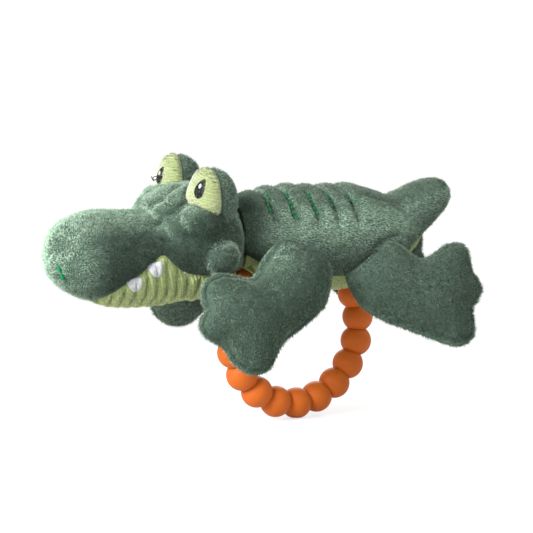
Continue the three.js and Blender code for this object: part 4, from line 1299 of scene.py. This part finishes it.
backStitch = {"length": 1.6, "gap": 0.6, "radius": 0.36, "lift": 0.75}
tackStitch = {"length": 2.2, "gap": 0.1, "radius": 0.32, "lift": 1.0}
snoutStitch = {"length": 1.2, "gap": 0.6, "radius": 0.28, "lift": 0.4}
nostrilStitch = {"length": 2.8, "gap": 0.1, "radius": 0.6, "lift": 0.6}
tack = [(15.9, -15.6, 83.3), (18.2, -15.7, 83.3)]
for name, rows, onSurface, pose, body, settings in (
        ("back_stitches", backRows, onTorso, torsoPose, "torso", backStitch),
        ("back_tack", [tack], onTorso, torsoPose, "torso", tackStitch),
        ("snout_stitches", snoutRows, onHead, headPose, "head", snoutStitch),
        ("nostril_stitches", nostrils, onHead, headPose, "head", nostrilStitch)):
    rows = [np.array([onSurface(p)[0] + onSurface(p)[1] * settings["lift"] for p in row]) for row in rows]
    stitch(name, rows, pose, body, settings)
print("stage: stitches")


# Thread ends that hang loose from the far pupil
def looseThread(name, knots, radius):
    path = spline([tuple(eyePlace(1) @ Vector(k)) for k in knots], np.linspace(0, 1, 18))
    curve = bpy.data.curves.new("thread", "CURVE")
    curve.dimensions = "3D"
    curve.bevel_depth = radius
    curve.bevel_resolution = 1
    curve.use_fill_caps = True
    run = curve.splines.new("POLY")
    run.points.add(len(path) - 1)
    run.points.foreach_set("co", np.column_stack([path, np.ones(len(path))]).ravel())
    drawn = linked("thread", curve)
    obj = outward(linked(name, evaluatedMesh(drawn)))
    bpy.data.objects.remove(drawn)
    bpy.data.curves.remove(curve)
    dress(obj, name, headPose, "head", "blackThread")


looseThread("pupil_thread_a", [(-6.2, -0.4, 3.6), (-6.9, 0.6, 3.4), (-7.3, 1.5, 2.6), (-7.0, 2.0, 1.8),
                               (-6.6, 1.5, 1.5)], 0.16)
looseThread("pupil_thread_b", [(-6.1, -0.2, 2.4), (-6.9, 0.8, 2.2), (-7.4, 1.8, 2.4), (-7.6, 2.4, 3.1)], 0.16)
print("stage: loose threads")

# Hidden pieces keep their solids
hidden = {"head_filling_upper": "filling", "head_filling_lower": "filling", "torso_filling": "filling",
          "rattle_cup": "drum", "rattle_cap": "drum", **{f"rattle_pellet_{i}": "pellet" for i in range(1, 5)}}
for name, material in hidden.items():
    for place in frame["nodes"][name].material_slots:
        place.material = materials[material]
discard(headOuter, torsoOuter)


# Floor, light and camera
def seenBy(n):
    rays = n.make("ShaderNodeLightPath").outputs
    passed = n.math("MAXIMUM", rays["Is Glossy Ray"], rays["Is Transmission Ray"])
    return n.math("MAXIMUM", rays["Is Camera Ray"], passed)


def grey(level):
    return (level, level, level, 1)


def whiteFloor(reach=3.0, below=-0.0002):
    floor = newMesh("floor", [(x * reach, y * reach, below) for x, y in ((-1, -1), (1, -1), (1, 1), (-1, 1))],
                    [(0, 1, 2, 3)])
    n = newMaterial("floorWhite")
    away = n.add("ShaderNodeVectorMath", {0: n.place()}, "Value", operation="LENGTH")
    bare = n.add("ShaderNodeMapRange", {0: away, 1: 0.09, 2: 0.2, 3: 0.72, 4: 1.0})
    paper = n.add("ShaderNodeBsdfDiffuse", {"Color": grey(1)})
    glow = n.add("ShaderNodeEmission", {"Color": grey(1), "Strength": 1.02})
    shown = n.add("ShaderNodeMixShader", {0: bare, 1: paper, 2: glow})
    bounce = n.add("ShaderNodeBsdfDiffuse", {"Color": grey(0.66)})
    n.make("ShaderNodeOutputMaterial", {0: n.add("ShaderNodeMixShader", {0: seenBy(n), 1: bounce, 2: shown})})
    floor.data.materials.append(materials["floorWhite"])


def areaLight(name, place, size, power, target=(0, 0, 0.06)):
    data = bpy.data.lights.new(name, "AREA")
    data.shape = "SQUARE"
    data.size = size
    data.energy = power
    way = Vector(target) - Vector(place)
    linked(name, data).matrix_world = Matrix.Translation(place) @ way.to_track_quat("-Z", "Y").to_matrix().to_4x4()


whiteFloor()
scene.world = bpy.data.worlds.new("studio")
scene.world.use_nodes = True
scene.world.node_tree.nodes.clear()
n = Nodes(scene.world.node_tree)
ambient, white = (n.add("ShaderNodeBackground", {"Color": grey(1), "Strength": level}) for level in (0.52, 1.0))
n.make("ShaderNodeOutputWorld", {0: n.add("ShaderNodeMixShader", {0: seenBy(n), 1: ambient, 2: white})})
areaLight("keyLight", (-0.82, -0.12, 0.52), 0.45, 19.0, (-0.01, 0, 0.06))
areaLight("fillLight", (0.2, -0.5, 0.8), 0.6, 4.5)
areaLight("backLight", (0.55, 0.9, 0.5), 0.7, 11.0)

camera = {"place": (-294.0, -439.7, 110.3), "azimuthDeg": -32.54, "elevationDeg": 5.65, "lensMm": 94.56}
azimuth, elevation = math.radians(camera["azimuthDeg"]), math.radians(camera["elevationDeg"])
backward = Vector((math.sin(azimuth) * math.cos(elevation), -math.cos(azimuth) * math.cos(elevation),
                   math.sin(elevation)))
right = Vector((math.cos(azimuth), math.sin(azimuth), 0))
lens = bpy.data.cameras.new("camera")
lens.lens, lens.sensor_width = camera["lensMm"], 36
lens.clip_start, lens.clip_end = 0.01, 20
scene.camera = linked("camera", lens)
facing = Matrix((right, backward.cross(right), backward)).transposed().to_4x4()
scene.camera.matrix_world = Matrix.Translation(Vector(camera["place"]) * mm) @ facing
scene.view_settings.view_transform = "Standard"
